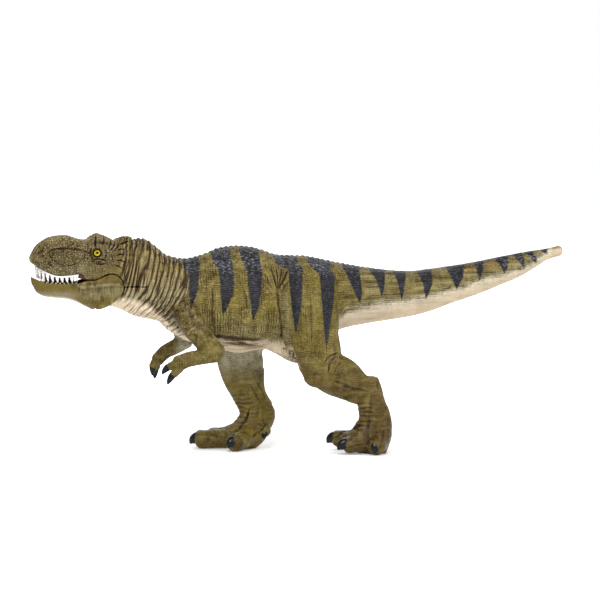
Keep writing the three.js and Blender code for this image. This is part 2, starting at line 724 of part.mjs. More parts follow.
const rightLegShares = {
  side: 1,
  hipShares: [0.08, 1.0],
  thighShares: [
    [0.12, 0.58, 1.18, 0.34, 0.24],
    [0.08, 0.74, 1.1, 0.44, 0.36],
    [-0.06, 0.91, 1.0, 0.49, 0.45],
    [-0.34, 0.98, 0.88, 0.45, 0.48],
    [-0.66, 1.0, 0.76, 0.37, 0.46],
    [-0.82, 1.02, 0.66, 0.365, 0.42],
    [-0.8, 1.02, 0.57, 0.385, 0.38],
    [-0.78, 1.02, 0.48, 0.34, 0.3],
  ],
  shankShares: [
    [-0.79, 1.02, 0.56, 0.48, 0.44],
    [-0.75, 1.0, 0.48, 0.51, 0.48],
    [-0.705, 0.98, 0.41, 0.445, 0.44],
    [-0.635, 0.95, 0.33, 0.39, 0.38],
    [-0.53, 0.93, 0.25, 0.4, 0.34],
  ],
  footShares: [
    [-0.5, 0.93, 0.28, 0.47, 0.44],
    [-0.5, 0.92, 0.225, 0.6, 0.5],
    [-0.58, 0.9, 0.16, 0.57, 0.54],
    [-0.66, 0.88, 0.09, 0.53, 0.58],
    [-0.88, 0.88, 0.025, 0.4, 0.56],
  ],
  instepShares: [
    [-0.6, 0.9, 0.2, 0.48, 0.5],
    [-0.78, 0.92, 0.12, 0.42, 0.62],
    [-0.98, 0.93, 0.07, 0.42, 0.75],
  ],
  toeShares: [
    [1.0, [[-0.78, 0.9, 0.085], [-1.08, 0.97, 0.068], [-1.48, 1.02, 0.064], [-1.64, 1.07, 0.039]]],
    [1.0, [[-0.78, 0.66, 0.085], [-0.88, 0.36, 0.066], [-1.0, 0.12, 0.06], [-1.12, -0.04, 0.036]]],
    [1.0, [[-0.78, 1.1, 0.085], [-1.0, 1.45, 0.066], [-1.2, 1.68, 0.06], [-1.35, 1.84, 0.036]]],
  ],
  halluxShares: [[-0.46, 0.66, 0.14], [-0.44, 0.48, 0.115], [-0.48, 0.36, 0.075]],
};

function legRun(ringShares, leg, width, thickness, options) {
  const stations = ringShares.map(([x, y, z, half, deep]) => ({
    x: x * THIGH_WIDTH,
    y: leg.side * y * STANCE,
    z: z * HIP_HEIGHT,
    up: half * width,
    side: deep * thickness,
  }));
  return loft(stations, { ...options, domes: [width * 0.12, width * 0.18] });
}

// How a toe thins from its root to its end, and how much flatter across than up it is.
const toeSwellShares = [1.3, 1.06, 1.0];
const toeFlatShare = 0.95;

function toe(placeShares, leg, radius, clawRadius) {
  const joints = placeShares.map(([x, y, z]) => vec(x * THIGH_WIDTH, leg.side * y * STANCE, z * HIP_HEIGHT));
  const fleshy = joints.slice(0, -1);
  const flesh = loft(fleshy.map((p, i) => ({
    x: p.x, y: p.y, z: p.z, up: radius * toeSwellShares[i], side: radius * toeSwellShares[i] * toeFlatShare,
  })), { sides: TOE_SIDES, domes: [radius, radius * 0.7] });
  return flesh.add(claw(fleshy.at(-1), joints.at(-1), clawRadius));
}

// A claw: an arched horn that starts inside its toe and droops to its tip.
// Columns: place along the claw, thickness, rise above the straight line.
const clawShares = [
  [0.0, 1.0, 0.0],
  [0.35, 1.02, 0.3],
  [0.72, 0.74, 0.26],
  [1.0, 0.24, 0.0],
];
const clawFlatShare = 0.82;

function claw(from, tip, radius) {
  const stations = clawShares.map(([place, thick, rise]) => {
    const p = from.clone().lerp(tip, place);
    const up = thick * radius;
    return { x: p.x, y: p.y, z: p.z + rise * radius, up, side: up * clawFlatShare };
  });
  return loft(stations, { sides: TOE_SIDES, domes: [0, radius * 0.2] });
}

function legPlug(leg, grow) {
  const [x, height] = leg.hipShares;
  const inner = STANCE * 0.35 - grow;
  const length = LEG_PLUG_LENGTH + STANCE * 0.5 + grow;
  const centre = vec(x * THIGH_WIDTH, leg.side * (inner + length / 2), height * HIP_HEIGHT);
  return bar(LEG_PLUG_RADIUS + grow, length, centre, 'y');
}

function legSkin(leg) {
  const parts = [
    legRun(leg.thighShares, leg, THIGH_WIDTH, THIGH_THICKNESS, { sides: THIGH_SIDES }),
    legRun(leg.shankShares, leg, SHANK_WIDTH, SHANK_THICKNESS, { rows: 2 }),
    legRun(leg.footShares, leg, FOOT_WIDTH, FOOT_THICKNESS, {}),
    legRun(leg.instepShares, leg, FOOT_WIDTH, FOOT_THICKNESS, {}),
    ...leg.toeShares.map(([thick, places]) => toe(places, leg, TOE_RADIUS * thick, TOE_CLAW_RADIUS)),
    toe(leg.halluxShares, leg, HALLUX_RADIUS, (HALLUX_RADIUS / TOE_RADIUS) * TOE_CLAW_RADIUS),
  ];
  return union(parts);
}

function ground() {
  return plate([
    { x: -HIP_HEIGHT * 2, z: -OVERRUN },
    { x: HIP_HEIGHT * 2, z: -OVERRUN },
    { x: HIP_HEIGHT * 2, z: 0 },
    { x: -HIP_HEIGHT * 2, z: 0 },
  ], -TRUNK_WIDTH * 2, TRUNK_WIDTH * 2);
}

function legPart(leg) {
  const seat = bodySkin(GLUE_GAP).add(keel(GLUE_GAP));
  return legSkin(leg).subtract(seat).subtract(ground()).add(legPlug(leg, 0));
}

// Arms, from the shoulder. Columns: forward, spread, drop, radius; then two fingers of a root, an end
// and a claw tip each. The shoulder lies a share of the trunk behind its front and below its axis.
const shoulderBackShare = 0.07;
const shoulderDropShare = 0.08;
const leftArmShares = {
  side: -1,
  shoulderShares: [0.0, 0.8, 0.0],
  upperShares: [
    [0.0, 0.82, 0.0, 0.5],
    [-0.13, 0.97, 0.2, 0.45],
    [-0.36, 1.1, 0.42, 0.4],
    [-0.58, 1.16, 0.58, 0.36],
  ],
  lowerShares: [
    [-0.58, 1.16, 0.6, 0.58],
    [-0.3, 1.17, 0.64, 0.5],
    [0.0, 1.15, 0.68, 0.5],
    [0.2, 1.13, 0.74, 0.52],
  ],
  fingerShares: [
    [[0.18, 1.08, 0.73], [0.36, 1.04, 0.78], [0.51, 1.02, 0.885]],
    [[0.16, 1.2, 0.78], [0.3, 1.24, 0.88], [0.43, 1.26, 1.02]],
  ],
};
const rightArmShares = {
  side: 1,
  shoulderShares: [0.0, 0.8, 0.0],
  upperShares: [
    [0.0, 0.82, 0.0, 0.5],
    [-0.08, 0.92, 0.18, 0.43],
    [-0.18, 1.0, 0.35, 0.38],
    [-0.25, 1.02, 0.46, 0.34],
  ],
  lowerShares: [
    [-0.25, 1.02, 0.5, 0.54],
    [0.0, 1.0, 0.6, 0.5],
    [0.2, 0.98, 0.67, 0.46],
    [0.36, 0.97, 0.78, 0.45],
  ],
  fingerShares: [
    [[0.38, 0.9, 0.76], [0.47, 0.86, 0.87], [0.48, 0.84, 1.0]],
    [[0.33, 1.04, 0.76], [0.38, 1.1, 0.9], [0.4, 1.12, 1.06]],
  ],
};
const armFlatShare = 0.9;
const fingerTaperShares = [1.0, 0.9];

function armPoint([forward, spread, drop], arm) {
  const shoulder = vec(
    shoulderX + shoulderBackShare * TRUNK_LENGTH, 0, HIP_HEIGHT - shoulderDropShare * TRUNK_HEIGHT);
  return vec(shoulder.x - forward * ARM_REACH, arm.side * spread * ARM_SPREAD, shoulder.z - drop * ARM_DROP);
}

function armRun(ringShares, arm, width) {
  const stations = ringShares.map(([forward, spread, drop, radius]) => {
    const p = armPoint([forward, spread, drop], arm);
    return { x: p.x, y: p.y, z: p.z, up: radius * width, side: radius * width * armFlatShare };
  });
  return loft(stations, { sides: ARM_SIDES, rows: 2, domes: [width * 0.4, width * 0.3] });
}

function finger(placeShares, arm) {
  const joints = placeShares.map((place) => armPoint(place, arm));
  const flesh = loft(fingerTaperShares.map((taper, i) => ({
    x: joints[i].x, y: joints[i].y, z: joints[i].z, up: FINGER_RADIUS * taper, side: FINGER_RADIUS * taper,
  })), { sides: TOE_SIDES, domes: [FINGER_RADIUS, FINGER_RADIUS * 0.6] });
  return flesh.add(claw(joints[1], joints[2], FINGER_CLAW_RADIUS));
}

function armPlug(arm, grow) {
  const p = armPoint(arm.shoulderShares, arm);
  const inner = ARM_SPREAD * 0.82 - ARM_PLUG_LENGTH * 1.6 - grow;
  const length = ARM_PLUG_LENGTH * 1.6 + grow;
  return bar(ARM_PLUG_RADIUS + grow, length, vec(p.x, arm.side * (inner + length / 2), p.z), 'y');
}

function armPart(arm) {
  const parts = [
    armRun(arm.upperShares, arm, UPPER_ARM_WIDTH),
    armRun(arm.lowerShares, arm, FOREARM_WIDTH),
    ...arm.fingerShares.map((places) => finger(places, arm)),
  ];
  return union(parts).subtract(bodySkin(GLUE_GAP)).add(armPlug(arm, 0));
}

function trunk() {
  let whole = bodySkin().add(keel()).subtract(headRegion(-GLUE_GAP / 2)).subtract(behind(TAIL_ROOT_X));
  whole = whole.subtract(sweptPockets());
  const bossWidth = 2 * (JAW_EAR_INSET - JAW_GAP);
  const boss = bar(JAW_BOSS_RADIUS, bossWidth, pivot, 'y').subtract(headRegion(-GLUE_GAP / 2));
  whole = whole.add(boss).subtract(bar(PIN_RADIUS + PIN_CLEARANCE, SKULL_WIDTH, pivot, 'y'));
  whole = whole.subtract(headPlug(GLUE_GAP)).subtract(tailPlug(GLUE_GAP));
  for (const leg of [leftLegShares, rightLegShares]) {
    whole = whole.subtract(legPlug(leg, GLUE_GAP));
  }
  for (const arm of [leftArmShares, rightArmShares]) {
    whole = whole.subtract(armPlug(arm, GLUE_GAP));
  }
  return whole;
}

// The plan line of a tooth row: a long U from one mouth corner round the snout to the other.
const rowShares = [
  [0.4, 0.395],
  [0.507, 0.378],
  [0.66, 0.37],
  [0.79, 0.335],
  [0.89, 0.27],
  [0.95, 0.16],
  [0.965, 0.0],
];

function rowCurve(inset) {
  const half = rowShares.map(([forward, share]) => vec(
    pivot.x - forward * SKULL_REACH + (share < 0.3 ? inset : 0),
    Math.max(share * SKULL_WIDTH - inset, 0),
    0,
  ));
  const mirrored = half.slice(0, -1).reverse().map((p) => vec(p.x, -p.y, 0));
  return new THREE.CatmullRomCurve3([...half, ...mirrored]);
}

// A gum strip with a row of teeth along a curve; the teeth point down for the upper row and up for the lower.
const STRIP_RINGS = 22;

function toothRow(curve, count, direction, liftAt, lengthAt, radius) {
  const drop = vec(0, 0, direction * TOOTH_STRIP_HEIGHT);
  const section = (t) => {
    const p = curve.getPointAt(t);
    const tangent = curve.getTangentAt(t).normalize();
    const across = vec(-tangent.y, tangent.x, 0).multiplyScalar(TOOTH_STRIP_WIDTH / 2);
    const inner = p.clone().add(across);
    const outer = p.clone().sub(across);
    for (const corner of [inner, outer]) {
      corner.z = liftAt(corner.x);
    }
    return [inner, outer, outer.clone().add(drop), inner.clone().add(drop)];
  };
  const positions = [];
  const quad = (a, b, c, d) => positions.push(...[a, b, c, a, c, d].flatMap((v) => v.toArray()));
  const sections = [];
  for (let i = 0; i <= STRIP_RINGS; i += 1) {
    sections.push(section(i / STRIP_RINGS));
  }
  for (let i = 0; i < STRIP_RINGS; i += 1) {
    for (let k = 0; k < 4; k += 1) {
      const l = (k + 1) % 4;
      quad(sections[i][k], sections[i + 1][k], sections[i + 1][l], sections[i][l]);
    }
  }
  quad(...sections[0]);
  quad(...sections.at(-1).slice().reverse());
  const geometry = new THREE.BufferGeometry();
  geometry.setAttribute('position', new THREE.Float32BufferAttribute(positions, 3));
  let row = solid(geometry);
  row = row.volume() > 0 ? row : flipped(positions);
  for (let i = 0; i < count; i += 1) {
    const t = (i + 0.5) / count;
    const p = curve.getPointAt(t);
    p.z = liftAt(p.x);
    const length = lengthAt(p.x);
    const tooth = new THREE.ConeGeometry(radius, length, TOOTH_SIDES);
    if (direction < 0) {
      tooth.rotateX(-Math.PI / 2);
    } else {
      tooth.rotateX(Math.PI / 2);
    }
    const base = TOOTH_STRIP_HEIGHT * 0.5;
    tooth.translate(p.x, p.y, p.z + direction * (base + length / 2));
    row = row.add(solid(tooth));
  }
  return row;
}

// The rim of the lower jaw under a place along the mouth.
function rimHeight(x) {
  const points = jawRim(0);
  const next = points.findIndex((p) => p.x >= x);
  if (next <= 0) {
    return points[0].z;
  }
  const [a, b] = [points[next - 1], points[next]];
  return a.z + ((b.z - a.z) * (x - a.x)) / (b.x - a.x);
}

function upperTeeth() {
  const curve = rowCurve(TOOTH_INSET);
  const liftAt = (x) => lipHeight(x) - GLUE_GAP;
  const lengthAt = (x) => {
    const room = lipHeight(x) - rimHeight(x) - GLUE_GAP - TOOTH_STRIP_HEIGHT * 0.5 - TOOTH_ROW_GAP;
    const backness = (x - (pivot.x - SKULL_REACH)) / SKULL_REACH;
    return Math.min(room, UPPER_TOOTH_LENGTH * (1.35 - 1.25 * backness));
  };
  return toothRow(curve, UPPER_TOOTH_COUNT, -1, liftAt, lengthAt, TOOTH_RADIUS);
}

function lowerTeeth() {
  const inset = TOOTH_INSET + TOOTH_RADIUS + LOWER_TOOTH_RADIUS + TOOTH_ROW_GAP;
  const curve = rowCurve(inset);
  const liftAt = (x) => rimHeight(x) + GLUE_GAP;
  return toothRow(curve, LOWER_TOOTH_COUNT, 1, liftAt, () => LOWER_TOOTH_LENGTH, LOWER_TOOTH_RADIUS);
}

function jawPin() {
  return bar(PIN_RADIUS, 2 * (JAW_EAR_INSET + PIN_EAR_DEPTH - PIN_END_GAP), pivot, 'y');
}

const olive = new THREE.MeshStandardMaterial({ color: 0x7a7038, roughness: 0.62, metalness: 0 });
const ivory = new THREE.MeshStandardMaterial({ color: 0xf2f0ea, roughness: 0.4, metalness: 0 });
const steel = new THREE.MeshStandardMaterial({ color: 0xb8babc, roughness: 0.3, metalness: 1 });

const figure = new THREE.Group();
function addPiece(name, manifold, material) {
  const mesh = new THREE.Mesh(geometryOf(manifold), material);
  mesh.name = name;
  figure.add(mesh);
}

addPiece('trunk', trunk(), olive);
addPiece('tail', tail(), olive);
addPiece('head', head(), olive);
addPiece('lower_jaw', lowerJaw(), olive);
addPiece('upper_teeth', upperTeeth(), ivory);
addPiece('lower_teeth', lowerTeeth(), ivory);
addPiece('jaw_pin', jawPin(), steel);
addPiece('left_leg', legPart(leftLegShares), olive);
addPiece('right_leg', legPart(rightLegShares), olive);
addPiece('left_arm', armPart(leftArmShares), olive);
addPiece('right_arm', armPart(rightArmShares), olive);

// The figure stands on z = 0 with its bounding box centred on the origin.
const middle = new THREE.Box3().setFromObject(figure).getCenter(vec(0, 0, 0));
figure.position.set(-middle.x, -middle.y, 0);

export default figure;
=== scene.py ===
import math

import bpy
import numpy as np
from mathutils import Matrix, Vector


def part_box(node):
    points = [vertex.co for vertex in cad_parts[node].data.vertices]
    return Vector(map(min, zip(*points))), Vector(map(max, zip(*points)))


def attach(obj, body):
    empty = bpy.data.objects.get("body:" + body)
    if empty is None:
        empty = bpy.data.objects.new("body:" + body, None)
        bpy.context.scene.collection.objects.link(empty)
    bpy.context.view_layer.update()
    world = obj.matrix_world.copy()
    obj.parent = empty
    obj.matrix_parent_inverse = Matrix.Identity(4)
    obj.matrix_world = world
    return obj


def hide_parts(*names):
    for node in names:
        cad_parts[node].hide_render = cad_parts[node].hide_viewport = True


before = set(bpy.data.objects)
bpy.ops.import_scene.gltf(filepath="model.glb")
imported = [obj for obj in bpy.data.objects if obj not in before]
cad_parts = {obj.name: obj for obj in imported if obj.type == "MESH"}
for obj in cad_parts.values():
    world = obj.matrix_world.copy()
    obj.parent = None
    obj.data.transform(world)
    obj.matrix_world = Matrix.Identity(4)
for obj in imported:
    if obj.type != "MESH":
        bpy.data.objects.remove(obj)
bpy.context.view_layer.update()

# The looks of a toy tyrannosaur. Shapes are worked out in millimetres in the figure's own coordinates:
# +X from snout to tail, +Z up, left side towards -Y. They are moved onto the jaw pin's place at the end.
MM = 0.001
DEG = math.pi / 180

# Driving dimensions, as in the solid model.
HIP_HEIGHT = 85.3
TRUNK_LENGTH, TRUNK_HEIGHT, TRUNK_WIDTH = 100, 60, 45
NECK_LENGTH, NECK_HEIGHT, NECK_WIDTH = 33.6, 45, 30
TAIL_LENGTH, TAIL_HEIGHT, TAIL_WIDTH = 128, 36, 29
TAIL_ROOT_X = 28
HEAD_RISE = 9
SKULL_REACH, SKULL_HEIGHT, SKULL_WIDTH = 43, 28, 27
JAW_REACH, JAW_DEPTH, JAW_WIDTH = 42.6, 11.6, 26.6
JAW_HEEL_RADIUS = 7
JAW_GAP = 0.45
JAW_OPENING_DEG, SPARE_DEG = 28, 2
JAW_EAR_INSET = 9.2
JAW_BOSS_RADIUS = 6.9
GLUE_GAP = 0.3
NECK_SEAM_RUN, NECK_SEAM_LEAN, NECK_OVERLAP = 20, 4.5, 1.2
OVERRUN = 30
THIGH_WIDTH, THIGH_THICKNESS = 34, 27
SHANK_WIDTH, SHANK_THICKNESS = 24, 19
FOOT_WIDTH, FOOT_THICKNESS = 16, 13
STANCE = 20
TOE_RADIUS, TOE_CLAW_RADIUS, HALLUX_RADIUS = 5.3, 3.5, 3
UPPER_ARM_WIDTH, FOREARM_WIDTH = 15, 8.6
ARM_SPREAD, ARM_REACH, ARM_DROP = 21, 27, 38
FINGER_RADIUS, FINGER_CLAW_RADIUS = 2.6, 1.9
SHOULDER_X = TAIL_ROOT_X - TRUNK_LENGTH
PIVOT = np.array([SHOULDER_X - NECK_LENGTH, 0, HIP_HEIGHT + HEAD_RISE])

# The camera, which also gives the picture plane that creases and stripes are laid out in.
VIEW_AZIMUTH, VIEW_ELEVATION = -12 * DEG, 4 * DEG
VIEW_DISTANCE = 1600
PIXEL = 0.56
PICTURE_MIDDLE = 300
VIEW_TARGET = np.array([2.9, 0, 84.8])
SENSOR = 36
VIEW_RIGHT = np.array([math.cos(VIEW_AZIMUTH), math.sin(VIEW_AZIMUTH), 0])
VIEW_AHEAD = np.array([-math.sin(VIEW_AZIMUTH) * math.cos(VIEW_ELEVATION),
                       math.cos(VIEW_AZIMUTH) * math.cos(VIEW_ELEVATION), -math.sin(VIEW_ELEVATION)])
VIEW_UP = np.cross(VIEW_RIGHT, VIEW_AHEAD)

pin_low, pin_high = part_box("jaw_pin")
SHIFT = (np.array(pin_low) + np.array(pin_high)) / 2 / MM - PIVOT
SKIN_VOXEL = 0.48
HEAD_VOXEL = 0.3
LOFT_ROWS, DOME_ROWS, DOME_CROWN = 6, 6, 0.4
FILL_WEIGHT, LAST_ROUNDS = 0.5, 3


def in_picture(points):
    """Where points show in the picture, in pixels across and down."""
    away = points - VIEW_TARGET
    scale = VIEW_DISTANCE / (VIEW_DISTANCE + away @ VIEW_AHEAD) / PIXEL
    return PICTURE_MIDDLE + np.stack([away @ VIEW_RIGHT * scale, -(away @ VIEW_UP) * scale], 1)


def placed(px, py, y):
    """The point that shows at a pixel and lies at y across the figure."""
    ray = VIEW_AHEAD * VIEW_DISTANCE
    ray = ray + (px - PICTURE_MIDDLE) * PIXEL * VIEW_RIGHT + (PICTURE_MIDDLE - py) * PIXEL * VIEW_UP
    eye = VIEW_TARGET - VIEW_AHEAD * VIEW_DISTANCE
    return eye + ray * (y - eye[1]) / ray[1]


def ramp(value, start, end):
    """0 at start, 1 at end, smooth between them."""
    t = np.clip((value - start) / (end - start), 0, 1)
    return t * t * (3 - 2 * t)


def fall(value, start, end):
    """1 at start, 0 at end, smooth between them."""
    return 1 - ramp(value, start, end)


def band(value, start, full, fading, gone):
    """0 before start and after gone, 1 from full to fading."""
    return ramp(value, start, full) * fall(value, fading, gone)


def bell(value, middle, width):
    """1 at the middle, less and less to either side of it."""
    return np.exp(-((value - middle) / width) ** 2)


def hashed(cell, seed):
    """A fixed number from 0 to 1 for each whole-number cell."""
    i = cell.astype(np.int64)
    h = (i[:, 0] * 73856093) ^ (i[:, 1] * 19349663) ^ (i[:, 2] * 83492791) ^ (seed * 2654435761)
    h = (h ^ (h >> 13)) * 1274126177
    return ((h ^ (h >> 16)) & 0xFFFFFF) / 0xFFFFFF


def noise(points, size, seed=0):
    """Smooth noise from -1 to 1, with features of that size in millimetres."""
    q = points / size
    base = np.floor(q)
    f = q - base
    f = f * f * (3 - 2 * f)
    total = np.zeros(len(q))
    for corner in np.ndindex(2, 2, 2):
        c = np.array(corner)
        total += np.prod(np.where(c, f, 1 - f), axis=1) * hashed(base + c, seed)
    return 2 * total - 1


def catmull(points, t, clamp=False):
    """Points on the smooth curve through the given ones, at t from 0 to 1."""
    p = np.asarray(points, float)
    first = p[:1] if clamp else 2 * p[:1] - p[1:2]
    last = p[-1:] if clamp else 2 * p[-1:] - p[-2:-1]
    p = np.vstack([first, p, last])
    s = np.clip(np.asarray(t) * (len(p) - 3), 0, len(p) - 3 - 1e-9)
    i = s.astype(int)
    f = (s - i)[:, None]
    a, b, c, d = p[i], p[i + 1], p[i + 2], p[i + 3]
    out, inward = (c - a) / 2, (d - b) / 2
    return (2 * b - 2 * c + out + inward) * f**3 + (3 * c - 3 * b - 2 * out - inward) * f**2 + out * f + b


def run_of(line):
    """How far along a line each of its points lies."""
    return np.concatenate([[0], np.cumsum(np.linalg.norm(np.diff(line, axis=0), axis=1))])


def around(count):
    """Angles of a full turn."""
    return np.arange(count) / count * 2 * math.pi


def rounded(turns, power):
    """Cosines and sines of a turn, for a circle at power 1 and fuller corners below it."""
    cos, sin = np.cos(turns), np.sin(turns)
    return np.sign(cos) * np.abs(cos) ** power, np.sign(sin) * np.abs(sin) ** power


def new_mesh(co, faces):
    """A mesh from points in millimetres and faces that all have the same number of corners, or are lists."""
    mesh = bpy.data.meshes.new("shape")
    if isinstance(faces, list):
        mesh.from_pydata(co.tolist(), [], faces)
        return mesh
    mesh.vertices.add(len(co))
    mesh.vertices.foreach_set("co", co.ravel())
    mesh.loops.add(faces.size)
    mesh.loops.foreach_set("vertex_index", faces.ravel().astype(np.int32))
    mesh.polygons.add(len(faces))
    mesh.polygons.foreach_set("loop_start", np.arange(0, faces.size, faces.shape[1], dtype=np.int32))
    mesh.update(calc_edges=True)
    return mesh


def points_of(mesh):
    co = np.empty(len(mesh.vertices) * 3)
    mesh.vertices.foreach_get("co", co)
    return co.reshape(-1, 3)


def triangles(mesh):
    """A mesh's points and its triangles."""
    mesh.calc_loop_triangles()
    tris = np.empty(len(mesh.loop_triangles) * 3, np.int32)
    mesh.loop_triangles.foreach_get("vertices", tris)
    return points_of(mesh), tris.reshape(-1, 3)


def outward(co, tris):
    """Triangles turned so that they face out of the closed shape."""
    a, b, c = co[tris[:, 0]], co[tris[:, 1]], co[tris[:, 2]]
    return tris if np.sum(np.cross(a, b) * c) > 0 else tris[:, ::-1]


def skinned(rings):
    """A closed shape through rings of points, an array of ring, side and axis."""
    count, sides = rings.shape[:2]
    co = np.vstack([rings.reshape(-1, 3), rings[0].mean(0), rings[-1].mean(0)])
    i = np.arange(sides)
    j = (i + 1) % sides
    first, last = 0 * i + count * sides, 0 * i + count * sides + 1
    tris = []
    for a in range(0, (count - 1) * sides, sides):
        b = a + sides
        tris += [np.stack([a + i, b + i, b + j], 1), np.stack([a + i, b + j, a + j], 1)]
    end = (count - 1) * sides
    tris = np.vstack(tris + [np.stack([first, i, j], 1), np.stack([last, end + j, end + i], 1)])
    return new_mesh(co, outward(co, tris))


def dome(place, reach, way):
    """Rings of a rounded end, outwards: place on the line, push along it, scale."""
    turns = [d / (DOME_ROWS + DOME_CROWN) * math.pi / 2 for d in range(1, DOME_ROWS + 1)]
    return [(place, way * reach * math.sin(a), math.cos(a)) for a in turns if reach > 0]


def loft(stations, sides=40, upright=False, square=2.0, domes=(0, 0)):
    """A skin through rings. A station is x, y, z, half height, half width and pear, as in the solid model."""
    st = np.array([list(s) + [0] * (6 - len(s)) for s in stations], float)
    spans = (len(st) - 1) * LOFT_ROWS
    steps = dome(0.0, domes[0], -1)[::-1] + [(i / spans, 0.0, 1.0) for i in range(spans + 1)]
    t, push, scale = np.array(steps + dome(1.0, domes[1], 1)).T
    centre, size = catmull(st[:, :3], t), catmull(st[:, 3:], t)
    if upright:
        along = np.tile([1.0, 0, 0], (len(t), 1))
        push = push * np.sign(st[-1, 0] - st[0, 0])
    else:
        step = 1e-4
        along = catmull(st[:, :3], np.clip(t + step, 0, 1)) - catmull(st[:, :3], np.clip(t - step, 0, 1))
        along /= np.linalg.norm(along, axis=1)[:, None]
    across = np.array([0, 1.0, 0]) - along * along[:, 1:2]
    across /= np.linalg.norm(across, axis=1)[:, None]
    up = np.cross(along, across)
    centre = centre + along * push[:, None]
    turns = around(sides)
    cos, sin = rounded(turns, 2 / square)
    tall = (size[:, 0] * scale)[:, None] * cos
    wide = (size[:, 1] * scale)[:, None] * sin * (1 - size[:, 2:3] * np.cos(turns))
    return skinned(centre[:, None] + tall[..., None] * up[:, None] + wide[..., None] * across[:, None])


def prism(bottom, top):
    """A closed block between two outlines with the same number of points."""
    n = len(bottom)
    co = np.vstack([bottom, top])
    faces = [list(range(n))[::-1], list(range(n, 2 * n))]
    faces += [[i, (i + 1) % n, n + (i + 1) % n, n + i] for i in range(n)]
    mesh = new_mesh(co, faces)
    points, tris = triangles(mesh)
    return new_mesh(points, outward(points, tris))


def plate(outline, y_from, y_to):
    """An outline of (x, z) made solid between two places across the figure."""
    flat = np.array([[x, 0, z] for x, z in outline], float)
    return prism(flat + [0, y_from, 0], flat + [0, y_to, 0])


def disc(radius, y_from, y_to):
    """A round plate about the jaw's axis."""
    rim = [(PIVOT[0] + radius * math.cos(a), PIVOT[2] + radius * math.sin(a)) for a in around(48)]
    return plate(rim, y_from, y_to)


def unit_ball(sides, rings):
    """A closed ball of radius 1."""
    tilts = np.linspace(-0.5, 0.5, rings + 2)[1:-1, None] * math.pi
    turns = around(sides)
    level = np.cos(tilts)
    return skinned(np.stack([level * np.cos(turns), level * np.sin(turns), np.sin(tilts) + 0 * turns], 2))


def added(name, data):
    """A new object in the scene."""
    made = bpy.data.objects.new(name, data)
    bpy.context.scene.collection.objects.link(made)
    return made


def baked(holder):
    """The object's mesh with its modifiers applied; the object goes away."""
    bpy.context.view_layer.update()
    graph = bpy.context.evaluated_depsgraph_get()
    mesh = bpy.data.meshes.new_from_object(holder.evaluated_get(graph))
    bpy.data.objects.remove(holder)
    return mesh


def cut(mesh, tool, operation="DIFFERENCE"):
    """The closed mesh less the tool's volume, or what the two share."""
    holder, cutter = added("holder", mesh), added("cutter", tool)
    modifier = holder.modifiers.new("cut", "BOOLEAN")
    modifier.operation, modifier.object, modifier.solver = operation, cutter, "MANIFOLD"
    result = baked(holder)
    bpy.data.objects.remove(cutter)
    return result


def joined(meshes):
    """Several meshes as one, still overlapping."""
    points, faces, start = [], [], 0
    for mesh in meshes:
        co, tris = triangles(mesh)
        points.append(co)
        faces.append(tris + start)
        start += len(co)
    return new_mesh(np.vstack(points), np.vstack(faces))


def cast(meshes, voxel):
    """One moulded skin round overlapping meshes: its points and its four-sided faces."""
    holder = added("holder", joined(meshes))
    modifier = holder.modifiers.new("cast", "REMESH")
    modifier.mode, modifier.voxel_size, modifier.adaptivity = "VOXEL", voxel, 0
    mesh = baked(holder)
    corners = np.empty(len(mesh.loops), np.int32)
    mesh.loops.foreach_get("vertex_index", corners)
    return points_of(mesh), corners.reshape(-1, 4)


def edges_of(quads):
    pairs = np.vstack([quads[:, [k, (k + 1) % 4]] for k in range(4)])
    return np.unique(np.sort(pairs, axis=1), axis=0)


def normals_of(co, quads):
    face = np.cross(co[quads[:, 2]] - co[quads[:, 0]], co[quads[:, 3]] - co[quads[:, 1]])
    total = np.stack([np.bincount(quads.ravel(), np.repeat(face[:, k], 4), len(co)) for k in range(3)], 1)
    return total / np.maximum(np.linalg.norm(total, axis=1), 1e-12)[:, None]


def relaxed(co, quads, rounds, fill_rounds):
    """A smoother skin. The fill rounds only move points outwards, which fills creases into fillets."""
    edges = edges_of(quads)
    a, b = edges.T
    degree = np.bincount(edges.ravel(), minlength=len(co))[:, None]

    def pull():
        """From each point to the mean of its neighbours."""
        total = [np.bincount(a, co[b, k], len(co)) + np.bincount(b, co[a, k], len(co)) for k in range(3)]
        return np.stack(total, 1) / degree - co

    for _ in range(rounds):
        for share in (0.5, -0.52):
            co = co + share * pull()
    for _ in range(fill_rounds):
        normal = normals_of(co, quads)
        out = np.sum(pull() * normal, axis=1)
        co = co + (np.maximum(out, 0) * FILL_WEIGHT)[:, None] * normal
    for _ in range(LAST_ROUNDS):
        co = co + 0.5 * pull()
    return co


# Body skin. Columns: along, top, bottom, half width, pear, as in the solid model.
neck_shares = [
    (1.0, 0.64, -0.04, 0.43, 0.12),
    (0.8, 0.71, -0.09, 0.45, 0.12),
    (0.6, 0.765, -0.17, 0.487, 0.12),
    (0.45, 0.78, -0.202, 0.507, 0.12),
    (0.3, 0.738, -0.225, 0.52, 0.12),
    (0.15, 0.647, -0.256, 0.533, 0.12),
]
trunk_shares = [
    (0.0, 0.425, -0.275, 0.367, 0.12),
    (0.1, 0.393, -0.367, 0.4, 0.1),
    (0.2, 0.43, -0.42, 0.444, 0.14),
    (0.3, 0.49, -0.463, 0.482, 0.16),
    (0.4, 0.505, -0.49, 0.5, 0.16),
    (0.5, 0.48, -0.467, 0.495, 0.14),
    (0.6, 0.422, -0.458, 0.467, 0.1),
    (0.7, 0.407, -0.44, 0.422, 0.05),
    (0.8, 0.398, -0.4, 0.39, 0),
    (0.9, 0.358, -0.333, 0.355, -0.04),
    (1.0, 0.327, -0.277, 0.322, -0.06),
]
